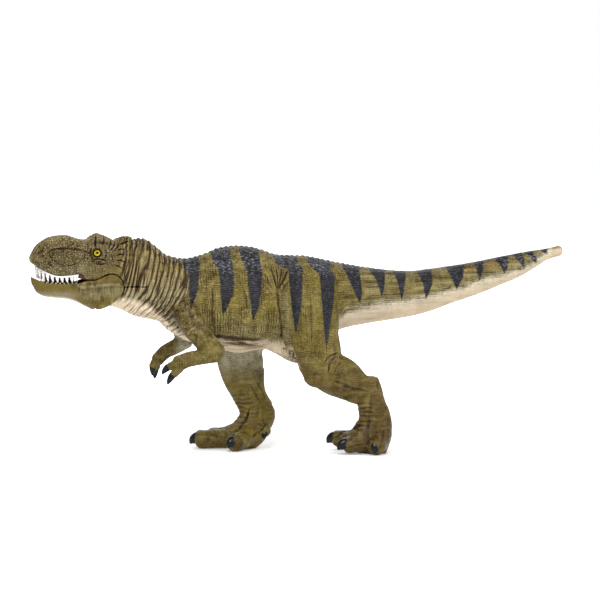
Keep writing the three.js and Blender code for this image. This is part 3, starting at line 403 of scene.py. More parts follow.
tail_shares = [
    (0.1, 0.483, -0.397, 0.448, -0.08),
    (0.2, 0.439, -0.347, 0.407, -0.08),
    (0.3, 0.417, -0.294, 0.366, -0.08),
    (0.4, 0.45, -0.206, 0.324, -0.08),
    (0.5, 0.5, -0.083, 0.283, -0.08),
    (0.6, 0.553, 0.028, 0.245, -0.08),
    (0.7, 0.62, 0.161, 0.207, -0.06),
    (0.8, 0.684, 0.303, 0.169, -0.04),
    (0.87, 0.718, 0.439, 0.128, 0),
    (0.925, 0.748, 0.56, 0.1, 0),
    (0.98, 0.79, 0.62, 0.09, 0),
]
keel_shares = [
    (0.52, -0.2, -0.44, 0.12, 0),
    (0.6, -0.2, -0.5, 0.16, 0),
    (0.68, -0.2, -0.575, 0.19, 0),
    (0.74, -0.2, -0.6, 0.19, 0),
    (0.81, -0.2, -0.56, 0.16, 0),
    (0.88, -0.2, -0.44, 0.12, 0),
]


def body_stations(rows, start, length, height, width, level=HIP_HEIGHT):
    return [(start + along * length, 0, level + (top + bottom) / 2 * height, (top - bottom) / 2 * height,
             half * width, pear) for along, top, bottom, half, pear in rows]


TRUNK = (SHOULDER_X, TRUNK_LENGTH, TRUNK_HEIGHT, TRUNK_WIDTH)
BODY = (body_stations(neck_shares, SHOULDER_X, -NECK_LENGTH, NECK_HEIGHT, NECK_WIDTH)
        + body_stations(trunk_shares, *TRUNK)
        + body_stations(tail_shares, TAIL_ROOT_X, TAIL_LENGTH, TAIL_HEIGHT, TAIL_WIDTH))


def body_skin():
    return loft(BODY, sides=72, upright=True, square=2.1, domes=(0, tail_shares[-1][3] * TAIL_WIDTH))


def keel_skin():
    return loft(body_stations(keel_shares, *TRUNK), upright=True)


# Skull skin, from the jaw pivot. Columns: forward, top, bottom, half width.
skull_shares = [
    (-0.43, 0.8, -0.2, 0.46),
    (-0.293, 0.885, -0.2, 0.51),
    (-0.13, 0.905, -0.15, 0.518),
    (0.033, 0.905, -0.1, 0.492),
    (0.195, 0.93, -0.05, 0.44),
    (0.351, 0.925, 0.0, 0.395),
    (0.507, 1.0, 0.04, 0.378),
    (0.66, 1.0, 0.06, 0.37),
    (0.788, 0.955, 0.12, 0.344),
    (0.89, 0.85, 0.22, 0.296),
    (0.951, 0.75, 0.34, 0.23),
    (0.985, 0.65, 0.45, 0.13),
]
# Lip line of the upper jaw. Columns: forward, height above the pivot.
lip_shares = [
    (1.03, 0.56), (0.97, 0.46), (0.92, 0.405), (0.83, 0.328), (0.767, 0.28), (0.695, 0.241),
    (0.614, 0.227), (0.512, 0.238), (0.435, 0.252), (0.379, 0.259), (0.344, 0.22), (0.3, 0.136),
]
LIP = catmull([(PIVOT[0] - f * SKULL_REACH, PIVOT[2] + h * SKULL_HEIGHT) for f, h in lip_shares],
              np.linspace(0, 1, 60), clamp=True)
# Side outline of the lower jaw. Columns: forward, height above the pivot.
jaw_rim_shares = [
    (1.02, 0.52), (0.92, 0.335), (0.83, 0.215), (0.64, 0.15), (0.507, 0.14), (0.4, 0.18),
    (0.3, 0.29), (0.2, 0.3), (0.145, 0.38), (0.07, 0.51),
]
jaw_bulge_shares = [(-0.08, -0.6), (-0.02, -0.78), (0.05, -0.95), (0.13, -1.06), (0.2, -1.1), (0.3, -1.3),
                    (0.42, -1.5), (1.1, -1.5), (1.1, 0.0)]
HEEL_DEG = (88, -50)
# Jaw skin. Columns: forward, bottom, half width.
jaw_shares = [
    (-0.2, -1.6, 0.5), (-0.06, -1.55, 0.505), (0.08, -1.45, 0.498), (0.18, -1.33, 0.475),
    (0.27, -1.04, 0.445), (0.35, -0.86, 0.412), (0.43, -0.72, 0.385), (0.54, -0.6, 0.36),
    (0.69, -0.54, 0.338), (0.81, -0.48, 0.31), (0.87, -0.4, 0.28), (0.93, -0.24, 0.235), (0.975, 0.06, 0.16),
]
JAW_TOP, JAW_PEAR, SKULL_PEAR = 1.2, -0.1, 0.13
trough_shares = [(0.84, 0.0), (0.83, 0.5), (0.76, 0.85), (0.65, 1.0), (0.45, 1.05)]
TROUGH_TILT = 9.5 * DEG
TROUGH_DROP, TROUGH_WALL = 6.2, 5
FLOOR_END = 236 * DEG
tongue_shares = [(0.46, 0.8, 0.3), (0.53, 1.0, 0.0), (0.62, 1.0, 0.0), (0.71, 0.9, 0.0), (0.79, 0.6, 0.3)]
TONGUE_WIDTH, TONGUE_THICKNESS, TONGUE_CLEARANCE = 8, 2, 1.5


def skull_skin():
    rows = [(*shares, SKULL_PEAR) for shares in skull_shares]
    rows = body_stations(rows, PIVOT[0], -SKULL_REACH, SKULL_HEIGHT, SKULL_WIDTH, PIVOT[2])
    return loft(rows, sides=72, upright=True, square=2.5, domes=(0, (1 - skull_shares[-1][0]) * SKULL_REACH))


def jaw_skin():
    rows = [(forward, JAW_TOP, bottom, half, JAW_PEAR) for forward, bottom, half in jaw_shares]
    rows = body_stations(rows, PIVOT[0], -JAW_REACH, JAW_DEPTH, JAW_WIDTH, PIVOT[2])
    return loft(rows, sides=72, upright=True, square=3.2, domes=(0, (1 - jaw_shares[-1][0]) * JAW_REACH))


def on_jaw(shares):
    """Places in the jaw's side view."""
    return PIVOT[[0, 2]] + np.array(shares) * (-JAW_REACH, JAW_DEPTH)


def jaw_rim(grow=0.0):
    return catmull(on_jaw(jaw_rim_shares) + [0, grow], np.linspace(0, 1, 41), clamp=True)


def jaw_heel(grow=0.0):
    turns = np.linspace(*HEEL_DEG, 21) * DEG
    reach = JAW_HEEL_RADIUS + grow
    return np.stack([PIVOT[0] + reach * np.cos(turns), PIVOT[2] + reach * np.sin(turns)], 1)


def jaw_bulge(grow=0.0):
    return on_jaw(jaw_bulge_shares) + [grow, 0]


def jaw_outline(grow=0.0):
    return np.vstack([jaw_rim(grow), jaw_heel(grow), jaw_bulge(grow)])


def ear_outline(grow):
    bulge = jaw_bulge(grow)[:4] - [0, grow]
    return np.vstack([jaw_heel(grow), bulge, [[PIVOT[0] - JAW_HEEL_RADIUS, PIVOT[2]]]])


def ear_strips():
    inset = JAW_EAR_INSET - JAW_GAP
    return [(-OVERRUN, -inset), (inset, OVERRUN)]


def head_region(shift, overlap=0.0):
    low, seam = PIVOT[2] + shift, PIVOT[0] + NECK_SEAM_RUN + overlap
    lean = NECK_SEAM_LEAN * (SKULL_HEIGHT + OVERRUN) / SKULL_HEIGHT
    front, top = PIVOT[0] - SKULL_REACH - OVERRUN, PIVOT[2] + SKULL_HEIGHT + OVERRUN
    outline = [(front, low), (seam, low), (seam + lean, top), (front, top)]
    return plate(outline, -SKULL_WIDTH - OVERRUN, SKULL_WIDTH + OVERRUN)


def under_lip():
    front, low = PIVOT[0] - SKULL_REACH - OVERRUN, PIVOT[2] - OVERRUN
    rest = [(PIVOT[0], LIP[-1, 1]), (PIVOT[0], low), (front, low), (front, LIP[0, 1])]
    return plate(np.vstack([LIP, rest]), -SKULL_WIDTH - OVERRUN, SKULL_WIDTH + OVERRUN)


def swept_pockets():
    """What the jaw's ears pass through beside the throat as the mouth opens."""
    outline = ear_outline(JAW_GAP) - PIVOT[[0, 2]]
    tools = []
    for turn in np.linspace(0, JAW_OPENING_DEG + SPARE_DEG, 7) * DEG:
        spin = np.array([[math.cos(turn), math.sin(turn)], [-math.sin(turn), math.cos(turn)]])
        tools += [plate(outline @ spin + PIVOT[[0, 2]], *strip) for strip in ear_strips()]
    return tools


def trough():
    half = next(row[2] for row in jaw_shares if row[0] > 0.5) * JAW_WIDTH - TROUGH_WALL
    side = [(-f * JAW_REACH, w * half) for f, w in trough_shares]
    side += [(-JAW_BOSS_RADIUS - JAW_HEEL_RADIUS, JAW_EAR_INSET), (OVERRUN, JAW_EAR_INSET)]
    plan = np.array(side + [(x, -y) for x, y in side[:0:-1]])
    tilt = np.array([[math.cos(TROUGH_TILT), 0, -math.sin(TROUGH_TILT)], [0, 1, 0],
                     [math.sin(TROUGH_TILT), 0, math.cos(TROUGH_TILT)]])
    floor = np.column_stack([plan, np.full(len(plan), -TROUGH_DROP)])
    return prism(floor @ tilt + PIVOT, (floor + [0, 0, OVERRUN]) @ tilt + PIVOT)


def floor_end():
    reach = OVERRUN + JAW_REACH
    x, z = PIVOT[0], PIVOT[2]
    outline = [(x, z), (x + reach * math.cos(FLOOR_END), z + reach * math.sin(FLOOR_END)),
               (x + reach, z - reach), (x + reach, z + reach), (x, z + reach)]
    return plate(outline, -JAW_EAR_INSET, JAW_EAR_INSET)


# Legs. X is a share of the thigh's width, Y of the stance and heights of the hip height.
left_leg = {
    "side": -1,
    "thigh": [(0.14, 0.58, 1.19, 0.36, 0.24), (0.13, 0.74, 1.11, 0.46, 0.36), (0.11, 0.93, 1.01, 0.5, 0.46),
              (0.1, 1.03, 0.88, 0.5, 0.5), (0.15, 1.08, 0.76, 0.455, 0.47), (0.24, 1.12, 0.66, 0.395, 0.42),
              (0.25, 1.12, 0.56, 0.31, 0.36), (0.25, 1.12, 0.51, 0.24, 0.3)],
    "shank": [(0.2, 1.12, 0.6, 0.36, 0.44), (0.42, 1.12, 0.545, 0.47, 0.5), (0.66, 1.1, 0.497, 0.475, 0.46),
              (0.9, 1.06, 0.434, 0.38, 0.37), (1.11, 1.02, 0.39, 0.33, 0.33)],
    "foot": [(1.125, 1.02, 0.485, 0.32, 0.4), (1.135, 1.0, 0.42, 0.42, 0.47), (1.155, 1.0, 0.33, 0.49, 0.48),
             (1.215, 0.98, 0.24, 0.56, 0.5), (1.24, 0.96, 0.14, 0.57, 0.58), (1.2, 0.96, 0.015, 0.46, 0.56)],
    "instep": [(1.2, 0.98, 0.21, 0.5, 0.5), (1.08, 0.97, 0.12, 0.56, 0.62), (0.88, 0.95, 0.07, 0.42, 0.72)],
    "toes": [(0.88, [(1.2, 1.02, 0.085), (0.96, 1.15, 0.07), (0.74, 1.2, 0.064), (0.565, 1.25, 0.04)]),
             (0.86, [(1.16, 0.8, 0.1), (0.9, 0.55, 0.09), (0.66, 0.42, 0.084), (0.505, 0.36, 0.062)]),
             (1.0, [(1.25, 1.1, 0.085), (1.215, 1.3, 0.068), (1.17, 1.5, 0.06), (1.125, 1.66, 0.022)])],
    "hallux": [(1.38, 0.7, 0.13), (1.4, 0.48, 0.1), (1.36, 0.36, 0.06)],
}
right_leg = {
    "side": 1,
    "thigh": [(0.12, 0.58, 1.18, 0.34, 0.24), (0.08, 0.74, 1.1, 0.44, 0.36), (-0.06, 0.91, 1.0, 0.49, 0.45),
              (-0.34, 0.98, 0.88, 0.45, 0.48), (-0.66, 1.0, 0.76, 0.37, 0.46),
              (-0.82, 1.02, 0.66, 0.365, 0.42), (-0.8, 1.02, 0.57, 0.385, 0.38),
              (-0.78, 1.02, 0.48, 0.34, 0.3)],
    "shank": [(-0.79, 1.02, 0.56, 0.48, 0.44), (-0.75, 1.0, 0.48, 0.51, 0.48),
              (-0.705, 0.98, 0.41, 0.445, 0.44), (-0.635, 0.95, 0.33, 0.39, 0.38),
              (-0.53, 0.93, 0.25, 0.4, 0.34)],
    "foot": [(-0.5, 0.93, 0.28, 0.47, 0.44), (-0.5, 0.92, 0.225, 0.6, 0.5), (-0.58, 0.9, 0.16, 0.57, 0.54),
             (-0.66, 0.88, 0.09, 0.53, 0.58), (-0.88, 0.88, 0.025, 0.4, 0.56)],
    "instep": [(-0.6, 0.9, 0.2, 0.48, 0.5), (-0.78, 0.92, 0.12, 0.42, 0.62), (-0.98, 0.93, 0.07, 0.42, 0.75)],
    "toes": [(1.0, [(-0.78, 0.9, 0.085), (-1.08, 0.97, 0.068), (-1.48, 1.02, 0.064), (-1.64, 1.07, 0.039)]),
             (1.0, [(-0.78, 0.66, 0.085), (-0.88, 0.36, 0.066), (-1.0, 0.12, 0.06), (-1.12, -0.04, 0.036)]),
             (1.0, [(-0.78, 1.1, 0.085), (-1.0, 1.45, 0.066), (-1.2, 1.68, 0.06), (-1.35, 1.84, 0.036)])],
    "hallux": [(-0.46, 0.66, 0.14), (-0.44, 0.48, 0.115), (-0.48, 0.36, 0.075)],
}
# Arms. Columns: forward of the shoulder, spread, drop, radius; fingers have two places and a claw tip.
left_arm = {
    "side": -1,
    "upper": [(0.0, 0.82, 0.0, 0.5), (-0.13, 0.97, 0.2, 0.45), (-0.36, 1.1, 0.42, 0.4),
              (-0.58, 1.16, 0.58, 0.36)],
    "lower": [(-0.58, 1.16, 0.6, 0.58), (-0.3, 1.17, 0.64, 0.5), (0.0, 1.15, 0.68, 0.5),
              (0.2, 1.13, 0.74, 0.52)],
    "fingers": [[(0.18, 1.08, 0.73), (0.36, 1.04, 0.78), (0.51, 1.02, 0.885)],
                [(0.16, 1.2, 0.78), (0.3, 1.24, 0.88), (0.43, 1.26, 1.02)]],
}
right_arm = {
    "side": 1,
    "upper": [(0.0, 0.82, 0.0, 0.5), (-0.08, 0.92, 0.18, 0.43), (-0.18, 1.0, 0.35, 0.38),
              (-0.25, 1.02, 0.46, 0.34)],
    "lower": [(-0.25, 1.02, 0.5, 0.54), (0.0, 1.0, 0.6, 0.5), (0.2, 0.98, 0.67, 0.46),
              (0.36, 0.97, 0.78, 0.45)],
    "fingers": [[(0.38, 0.9, 0.76), (0.47, 0.86, 0.87), (0.48, 0.84, 1.0)],
                [(0.33, 1.04, 0.76), (0.38, 1.1, 0.9), (0.4, 1.12, 1.06)]],
}
SOCKET_BACK, SOCKET_DROP = 0.07, 0.08
toe_swell_shares = (1.3, 1.06, 1.0)
TOE_FLATNESS, CLAW_FLATNESS, FINGER_TAPER = 0.95, 0.82, 0.1
# The limbs' skin: arms in front of ARM_END, from FOOT_TOP to ARM_TOP; toes in front of TOES_END; none above
# LIMB_TOP.
ARM_END, ARM_TOP, FOOT_TOP, TOES_END, LIMB_TOP = -44, 90, 32, 60, 95


def leg_point(row, leg):
    return np.array([row[0] * THIGH_WIDTH, leg["side"] * row[1] * STANCE, row[2] * HIP_HEIGHT])


def toe_flesh(points, leg, radius):
    stations = [(*leg_point(p, leg), radius * swell, radius * swell * TOE_FLATNESS)
                for p, swell in zip(points[:-1], toe_swell_shares)]
    return loft(stations, sides=24, domes=(radius, radius * 0.7))


LEG_SIZES = {"thigh": (THIGH_WIDTH, THIGH_THICKNESS), "shank": (SHANK_WIDTH, SHANK_THICKNESS),
             "foot": (FOOT_WIDTH, FOOT_THICKNESS), "instep": (FOOT_WIDTH, FOOT_THICKNESS)}


def leg_skin(leg):
    parts = []
    for name, (width, thickness) in LEG_SIZES.items():
        stations = [(*leg_point(row, leg), row[3] * width, row[4] * thickness) for row in leg[name]]
        parts.append(loft(stations, domes=(width * 0.12, width * 0.18)))
    parts += [toe_flesh(points, leg, TOE_RADIUS * thick) for thick, points in leg["toes"]]
    return parts + [toe_flesh(leg["hallux"], leg, HALLUX_RADIUS)]


def arm_point(row, arm):
    return np.array([SHOULDER_X + SOCKET_BACK * TRUNK_LENGTH - row[0] * ARM_REACH,
                     arm["side"] * row[1] * ARM_SPREAD,
                     HIP_HEIGHT - SOCKET_DROP * TRUNK_HEIGHT - row[2] * ARM_DROP])


def arm_skin(arm):
    parts = []
    for name, width in (("upper", UPPER_ARM_WIDTH), ("lower", FOREARM_WIDTH)):
        stations = [(*arm_point(row, arm), row[3] * width, row[3] * width * 0.9) for row in arm[name]]
        parts.append(loft(stations, domes=(width * 0.4, width * 0.3)))
    for root, knuckle, _ in arm["fingers"]:
        sizes = (FINGER_RADIUS, FINGER_RADIUS * (1 - FINGER_TAPER))
        stations = [(*arm_point(row, arm), size, size) for row, size in zip((root, knuckle), sizes)]
        parts.append(loft(stations, sides=24, domes=(FINGER_RADIUS, FINGER_RADIUS * 0.6)))
    return parts


# Claws. Columns: place along the claw, thickness, rise above the straight line.
claw_shares = [(0.0, 1.0, 0.0), (0.3, 1.04, 0.3), (0.62, 0.86, 0.34), (0.86, 0.58, 0.18), (1.0, 0.24, 0.0)]


def claw(start, tip, radius):
    """A smooth horn that starts inside its toe, arches and droops to its tip."""
    stations = []
    for share, size, rise in claw_shares:
        x, y, z = start + (tip - start) * share
        stations.append((x, y, z + rise * radius, radius * size, radius * size * CLAW_FLATNESS))
    return loft(stations, sides=24, domes=(radius * 0.5, radius * 0.15))


def leg_claws(leg):
    toes = [(points, TOE_RADIUS) for _, points in leg["toes"]] + [(leg["hallux"], HALLUX_RADIUS)]
    return [claw(leg_point(points[-2], leg), leg_point(points[-1], leg),
                 radius / TOE_RADIUS * TOE_CLAW_RADIUS) for points, radius in toes]


def arm_claws(arm):
    return [claw(arm_point(p[1], arm), arm_point(p[2], arm), FINGER_CLAW_RADIUS) for p in arm["fingers"]]


# Brow ridges. Columns: picture place, across, half height, half width.
brow_rows = [(84.5, 246, -6, 0.8, 1.2), (88, 244, -6.3, 1.4, 1.8), (91.5, 241.4, -6.6, 1.9, 2.2),
             (95, 239.8, -6.9, 2.0, 2.3), (99.5, 238, -7.2, 2.2, 2.5), (103, 238.5, -7.6, 2.1, 2.3),
             (107, 240, -8, 1.9, 2.1), (111, 241.8, -8.4, 1.7, 1.9), (115, 243.6, -8.6, 1.3, 1.6)]
crest_rows = [(114, 244, -5.5, 1.2, 1.4), (118, 242.6, -5.6, 1.8, 1.9), (122, 241, -5.4, 1.9, 2.0),
              (125.5, 239.8, -5, 1.8, 2.0), (128.5, 239.2, -4.6, 1.8, 1.8), (131.5, 239.8, -4.2, 1.5, 1.5)]


def ridge(rows, side):
    stations = []
    for px, py, y, tall, wide in rows:
        x, _, z = placed(px, py, y)
        stations.append((x, -side * y, z, tall, wide))
    return loft(stations, sides=20, upright=True, domes=(0.8, 0.8))


def boss_disc():
    return disc(JAW_BOSS_RADIUS, JAW_GAP - JAW_EAR_INSET, JAW_EAR_INSET - JAW_GAP)


def head_parts():
    region = head_region(GLUE_GAP / 2, NECK_OVERLAP)
    lip = under_lip()
    pieces = [cut(cut(whole, region, "INTERSECT"), lip) for whole in (skull_skin(), body_skin())]
    pieces += [ridge(rows, side) for rows in (brow_rows, crest_rows) for side in (-1, 1)]
    for strip in ear_strips():
        for tool in (plate(jaw_outline(JAW_GAP), *strip), disc(JAW_HEEL_RADIUS + JAW_GAP, *strip)):
            pieces = [cut(p, tool) for p in pieces]
    return pieces + [cut(boss_disc(), region, "INTERSECT")]


def trunk_parts():
    region = head_region(-GLUE_GAP / 2)
    body = body_skin()
    for tool in [region, *swept_pockets()]:
        body = cut(body, tool)
    return [body, keel_skin(), cut(boss_disc(), region), *leg_skin(left_leg), *leg_skin(right_leg),
            *arm_skin(left_arm), *arm_skin(right_arm)]


def jaw_parts():
    shell = cut(jaw_skin(), plate(jaw_outline(), -JAW_WIDTH, JAW_WIDTH), "INTERSECT")
    for tool in (trough(), floor_end(), disc(JAW_BOSS_RADIUS + JAW_GAP, -JAW_EAR_INSET, JAW_EAR_INSET)):
        shell = cut(shell, tool)
    return [shell]


# Colours as red, green and blue from 0 to 255.
COLOURS = {
    "olive": (107, 94, 33), "brown": (92, 73, 28), "light": (150, 136, 82), "stripe": (15, 14, 19),
    "cream": (234, 214, 184), "grey": (146, 142, 112), "umber": (72, 54, 8), "flesh": (84, 30, 30),
    "dark": (34, 26, 16), "sand": (190, 172, 144), "ash": (184, 180, 160), "rust": (150, 98, 46),
    # The gold is a painted sheen for the legs, warm_ridge and cool_ridge tint painted highlights,
    # and the brown after them tints the wash and painted shade.
    "gold_sheen": (150, 128, 50), "warm_ridge": (132, 120, 88), "cool_ridge": (112, 114, 122),
    "painted_shading": (104, 78, 50), "eye_rim": (26, 20, 12), "iris": (214, 186, 20), "pupil": (8, 8, 8),
}


def linear(rgb):
    c = np.array(rgb) / 255
    return np.where(c <= 0.04045, c / 12.92, ((c + 0.055) / 1.055) ** 2.4)


def over(paint, name, share):
    """The paint with another colour laid over it by a share from 0 to 1."""
    share = np.clip(share, 0, 1)[:, None]
    return paint * (1 - share) + linear(COLOURS[name]) * share


# Stripes, in pixels of the picture plane. Rows: down, left edge, right edge.
stripes = [
    [(254, 181.5, 198), (262, 183, 199.5), (268, 183.8, 199.6), (273.4, 188.6, 199.6), (290.7, 189.3, 197.5),
     (300.5, 189.8, 194.4), (311, 190.8, 190.9)],
    [(246, 210, 229.5), (256, 211.2, 231), (262, 213, 232.4), (268, 217.5, 233.2), (274, 219, 234.6),
     (284, 220.2, 234), (295, 220.8, 233.2), (309, 221.8, 226.7), (316, 222.4, 222.5)],
    [(243, 237.5, 258.8), (252, 239.5, 259), (259, 241, 259.6), (266, 245, 262), (272, 246.8, 262.4),
     (291, 248.6, 261.4), (310, 251.3, 258), (321.5, 252.7, 252.8)],
    [(250, 270.5, 297), (258, 273.5, 297.2), (263, 276, 298), (266.5, 282, 301), (268.8, 288, 302.8),
     (292, 290.2, 302.4), (310, 292, 301), (330, 294.8, 297.2), (333, 295.4, 295.5)],
    [(254, 305.5, 329.5), (263, 308.5, 330), (268, 312, 331), (273.7, 318.5, 334.4), (278, 320, 335),
     (303, 321.7, 333.7), (331, 324.2, 329.5), (352, 326.2, 326.4)],
    [(260, 340, 358.6), (266, 342, 359), (271, 344.5, 359.6), (282, 349.8, 361), (292, 354.5, 362.4),
     (303, 360, 360.2)],
    [(264, 368, 385), (269, 369, 385), (280, 376, 385), (288, 379, 384.2), (297, 381.8, 382)],
    [(265, 391, 406.5), (270, 392, 406.6), (282, 397.5, 405.2), (292, 400, 403.6), (301, 401.4, 401.6)],
    [(264, 415, 431.5), (269.5, 415.7, 431.6), (280, 421.7, 432.3), (283, 422.6, 432.3), (292, 424.6, 429.4),
     (299.4, 425.8, 426)],
    [(261, 443.5, 464), (266, 444.5, 464), (276.6, 451, 463.4), (283, 453.8, 460), (289.6, 456.4, 456.6)],
    [(258, 472.5, 483), (262, 473.7, 483.5), (270, 476.6, 483.4), (276, 478, 481.8), (280.4, 479.4, 479.6)],
    [(253, 491, 508.4), (257.5, 492, 508.4), (264.7, 499.7, 508.4), (269, 502, 507), (273.4, 504.2, 504.5)],
    [(250, 511, 522), (254, 512, 522.5), (260, 517.5, 524.5), (265, 521.5, 524.8), (268, 523.4, 523.8)],
    [(248, 523, 533), (252.8, 524.7, 533.4), (258, 530.5, 536.6), (261, 533.5, 537), (263.6, 535.8, 536.2)],
    [(247, 540, 547), (250.6, 541, 547.4), (253, 544.5, 548.4), (255.5, 546.8, 547.2)],
]
# Where cream begins below the olive on both flanks, from throat to tail tip, in pixels.
cream_line = [(104, 297), (118, 297), (130, 299.5), (146, 305), (158, 313), (168, 322), (178, 338),
              (196, 346), (214, 343), (226, 346), (240, 347.5), (254, 348.5), (268, 349), (282, 351),
              (294, 356), (310, 342), (340, 318), (365, 308), (400, 304), (432, 298), (465, 288), (498, 278),
              (525, 270), (540, 259.5), (552, 248), (570, 246)]
# Lines on the flank, in pixels: the shelf below the back, the seam before the thigh, the jaw's ridge with its
# painted highlight and the edge under it.
shelf_line = [(178, 268), (220, 269), (262, 267), (290, 265), (318, 268), (340, 272)]
thigh_seam = [(283.5, 290), (286, 318), (288.5, 346)]
jaw_ridge = [(74, 282.6), (79, 286), (83, 287.4), (91, 286.4), (112, 284.4), (119, 284.6)]
under_jaw_ridge = [(72, 283), (79, 287), (83, 288.4), (91, 287.4), (112, 285.4), (120, 285.6)]
# Rusty spots on the tail: left, right, top and bottom.
rust_spots = [(462, 476, 263, 273), (484, 499, 261, 271)]
# Places on the flank, in pixels. The whorl is a ring of folds behind the arm.
EYE, NOSTRIL, WHORL, JAW_HEEL = (97.1, 253.0), (41.5, 250.5), (184, 319), (91, 309)

# Creases of head, trunk and tail on both flanks: a line in pixels, half width and depth in millimetres.
body_creases = [
    ([(47, 253.5), (50, 250.6), (56, 248.8), (63, 248.4), (71, 248.8), (80, 249.8), (90, 253)], 0.42, 0.8),
    ([(48.6, 251.5), (49.3, 255), (52.5, 260), (57.5, 263.8), (64.5, 266), (72, 265.4), (79, 262),
      (84, 257.5), (86, 252.5)], 0.38, 0.5),
    ([(95.2, 232), (95.5, 240), (95.2, 248)], 0.42, 1.1),
    ([(91, 248), (90.6, 253), (92.4, 258.6)], 0.6, 0.7),
    ([(93, 259.8), (99, 259), (106.4, 260.8)], 0.36, 1.0),
    ([(95.6, 264), (101, 264.6), (106, 263.6)], 0.36, 0.9),
    ([(104.4, 248.6), (106.6, 253), (105.4, 258)], 0.36, 0.6),
    ([(103.4, 236.4), (104, 241), (102.6, 246)], 0.34, 0.9),
    ([(110.6, 239.4), (110.6, 244), (108.4, 248.6)], 0.34, 0.9),
    ([(114.8, 241.2), (113.8, 246), (110.8, 250.4)], 0.34, 0.9),
    ([(118.6, 242.6), (117.4, 247), (113.8, 251)], 0.34, 0.8),
    ([(117, 250.4), (121, 249), (125.6, 249.6)], 0.34, 0.8),
    ([(127, 243), (124, 251), (125.4, 262), (123.4, 270), (126, 281)], 0.42, 0.4),
    ([(116.4, 255.6), (120, 254), (124.8, 254.6)], 0.36, 1.0),
    ([(116.8, 260.4), (121, 260.2), (125, 262.4)], 0.36, 1.0),
    ([(115.4, 265.4), (119, 266.4), (122.6, 269)], 0.36, 0.9),
    ([(108, 253), (112, 256), (113.6, 262)], 0.3, 0.4),
    ([(128.6, 241.4), (124, 243), (119.6, 244.6)], 0.42, 1.0),
    ([(87.4, 243), (88.2, 247), (87.6, 251.6)], 0.34, 0.5),
    ([(262, 271), (267, 279), (272.6, 290)], 0.42, 0.5),
    ([(271, 268), (275.4, 281), (277.5, 289.7)], 0.45, 0.9),
    ([(276.6, 268.6), (277.6, 278), (278, 288)], 0.36, 0.7),
    ([(282, 267.6), (280.6, 277), (278.4, 288.5)], 0.36, 0.7),
    ([(288, 269.6), (283.6, 279.5), (278.4, 289.5)], 0.45, 0.9),
    ([(292, 276), (286.6, 284), (280.6, 292.6)], 0.38, 0.6),
    ([(266, 288), (271, 293.6), (275.6, 300)], 0.36, 0.4),
    ([(277.5, 289.7), (278.8, 311.4), (280.7, 321.6), (281, 345)], 0.5, 0.7),
    ([(213, 288.5), (212.5, 311.4), (213, 323), (215, 334.4)], 0.9, 0.4),
    ([(242.5, 287), (245.7, 297.4), (247.6, 309)], 0.6, 0.45),
    ([(216.3, 335.7), (226.5, 339.5), (238, 342), (249.5, 345.5), (265, 347)], 0.7, 0.6),
    ([(160, 277), (158.5, 284), (155.5, 290)], 0.5, 0.5),
    ([(183.5, 279), (181.5, 284), (179.5, 289)], 0.55, 0.8),
    ([(349, 306), (362, 300.5), (380, 298), (402, 297)], 0.5, 0.35),
    ([(340, 309), (350, 303.5), (372, 296.5), (392, 293.5)], 0.4, 0.3),
    ([(341, 317), (345, 311), (352, 309)], 0.5, 0.5),
    ([(438, 291), (448, 288), (453, 283)], 0.5, 0.35),
]
left_leg_creases = [
    ([(310.7, 300), (311, 316.5), (311.4, 329.3), (312, 345)], 0.7, 0.4),
    ([(338, 352.5), (331, 356), (325, 362)], 0.6, 0.6),
    ([(337, 356), (331, 360), (327, 366)], 0.5, 0.5),
    ([(335, 361), (330, 365), (328, 370)], 0.5, 0.4),
    ([(330, 379), (342, 384.5), (354, 389.5), (368, 391.5)], 0.7, 0.45),
    ([(311, 375.5), (316, 373.5), (322, 375)], 0.6, 0.35),
    ([(371, 393), (370.5, 405), (370, 418), (368, 430)], 0.9, 0.3),
    ([(377, 381), (378, 390)], 0.6, 0.35),
    ([(334, 358), (329, 366), (327, 374)], 0.4, 0.5),
    ([(341, 362), (336, 368), (333, 375)], 0.36, 0.4),
    ([(368.6, 418), (367, 430), (367.4, 440), (369.6, 449)], 1.0, 0.3),
    ([(383, 430), (382.6, 440), (380, 449)], 0.6, 0.4),
    ([(336, 438), (343, 432.5), (352, 429), (362, 424)], 0.6, 0.6),
    ([(344, 447), (354, 446.4), (364, 444)], 0.6, 0.4),
]
right_leg_creases = [
    ([(250, 384), (256, 394), (261, 404)], 0.6, 0.4),
    ([(256, 380), (262, 391), (265, 399)], 0.5, 0.4),
    ([(249, 410), (246, 419), (240, 427), (232, 435), (228.5, 445)], 0.8, 0.9),
    ([(198, 436), (206, 434), (218, 436), (226, 438)], 0.7, 0.4),
    ([(266, 424), (261, 431), (252, 437)], 0.6, 0.5),
    ([(258, 404), (258, 418)], 0.6, 0.3),
    ([(262, 412), (264, 424)], 0.5, 0.3),
]


def trace(picture, line, tapered=False):
    """Distance in pixels from a drawn line, growing towards the ends of a tapered one."""
    best = np.full(len(picture), 1e9)
    run = run_of(line)
    for i, (a, b) in enumerate(zip(line, line[1:])):
        a, b = np.array(a), np.array(b)
        along = np.clip((picture - a) @ (b - a) / ((b - a) @ (b - a)), 0, 1)
        away = np.linalg.norm(picture - a - along[:, None] * (b - a), axis=1)
        if tapered:
            place = (run[i] + along * (run[i + 1] - run[i])) / run[-1]
            away = away / np.sqrt(np.clip(4.6 * place * (1 - place), 0.12, 1))
        best = np.minimum(best, away)
    return best


def body_nearness(co):
    """1 on the body's own skin, 0 on a limb that stands out of it."""
    fine = catmull(BODY, np.linspace(0, 1, 400))
    centre, tall, wide, pear = (np.interp(co[:, 0], fine[:, 0], fine[:, k]) for k in (2, 3, 4, 5))
    up = (co[:, 2] - centre) / tall
    across = co[:, 1] / (wide * (1 - pear * np.clip(up, -1, 1)))
    return fall(np.hypot(up, across), 1.05, 1.16)


def folds(phase, sharpness=0.55):
    """A wrinkled section: round ridges with narrow grooves, from -1 in a groove to 0 on a ridge."""
    return np.abs(np.sin(phase * math.pi)) ** sharpness - 1
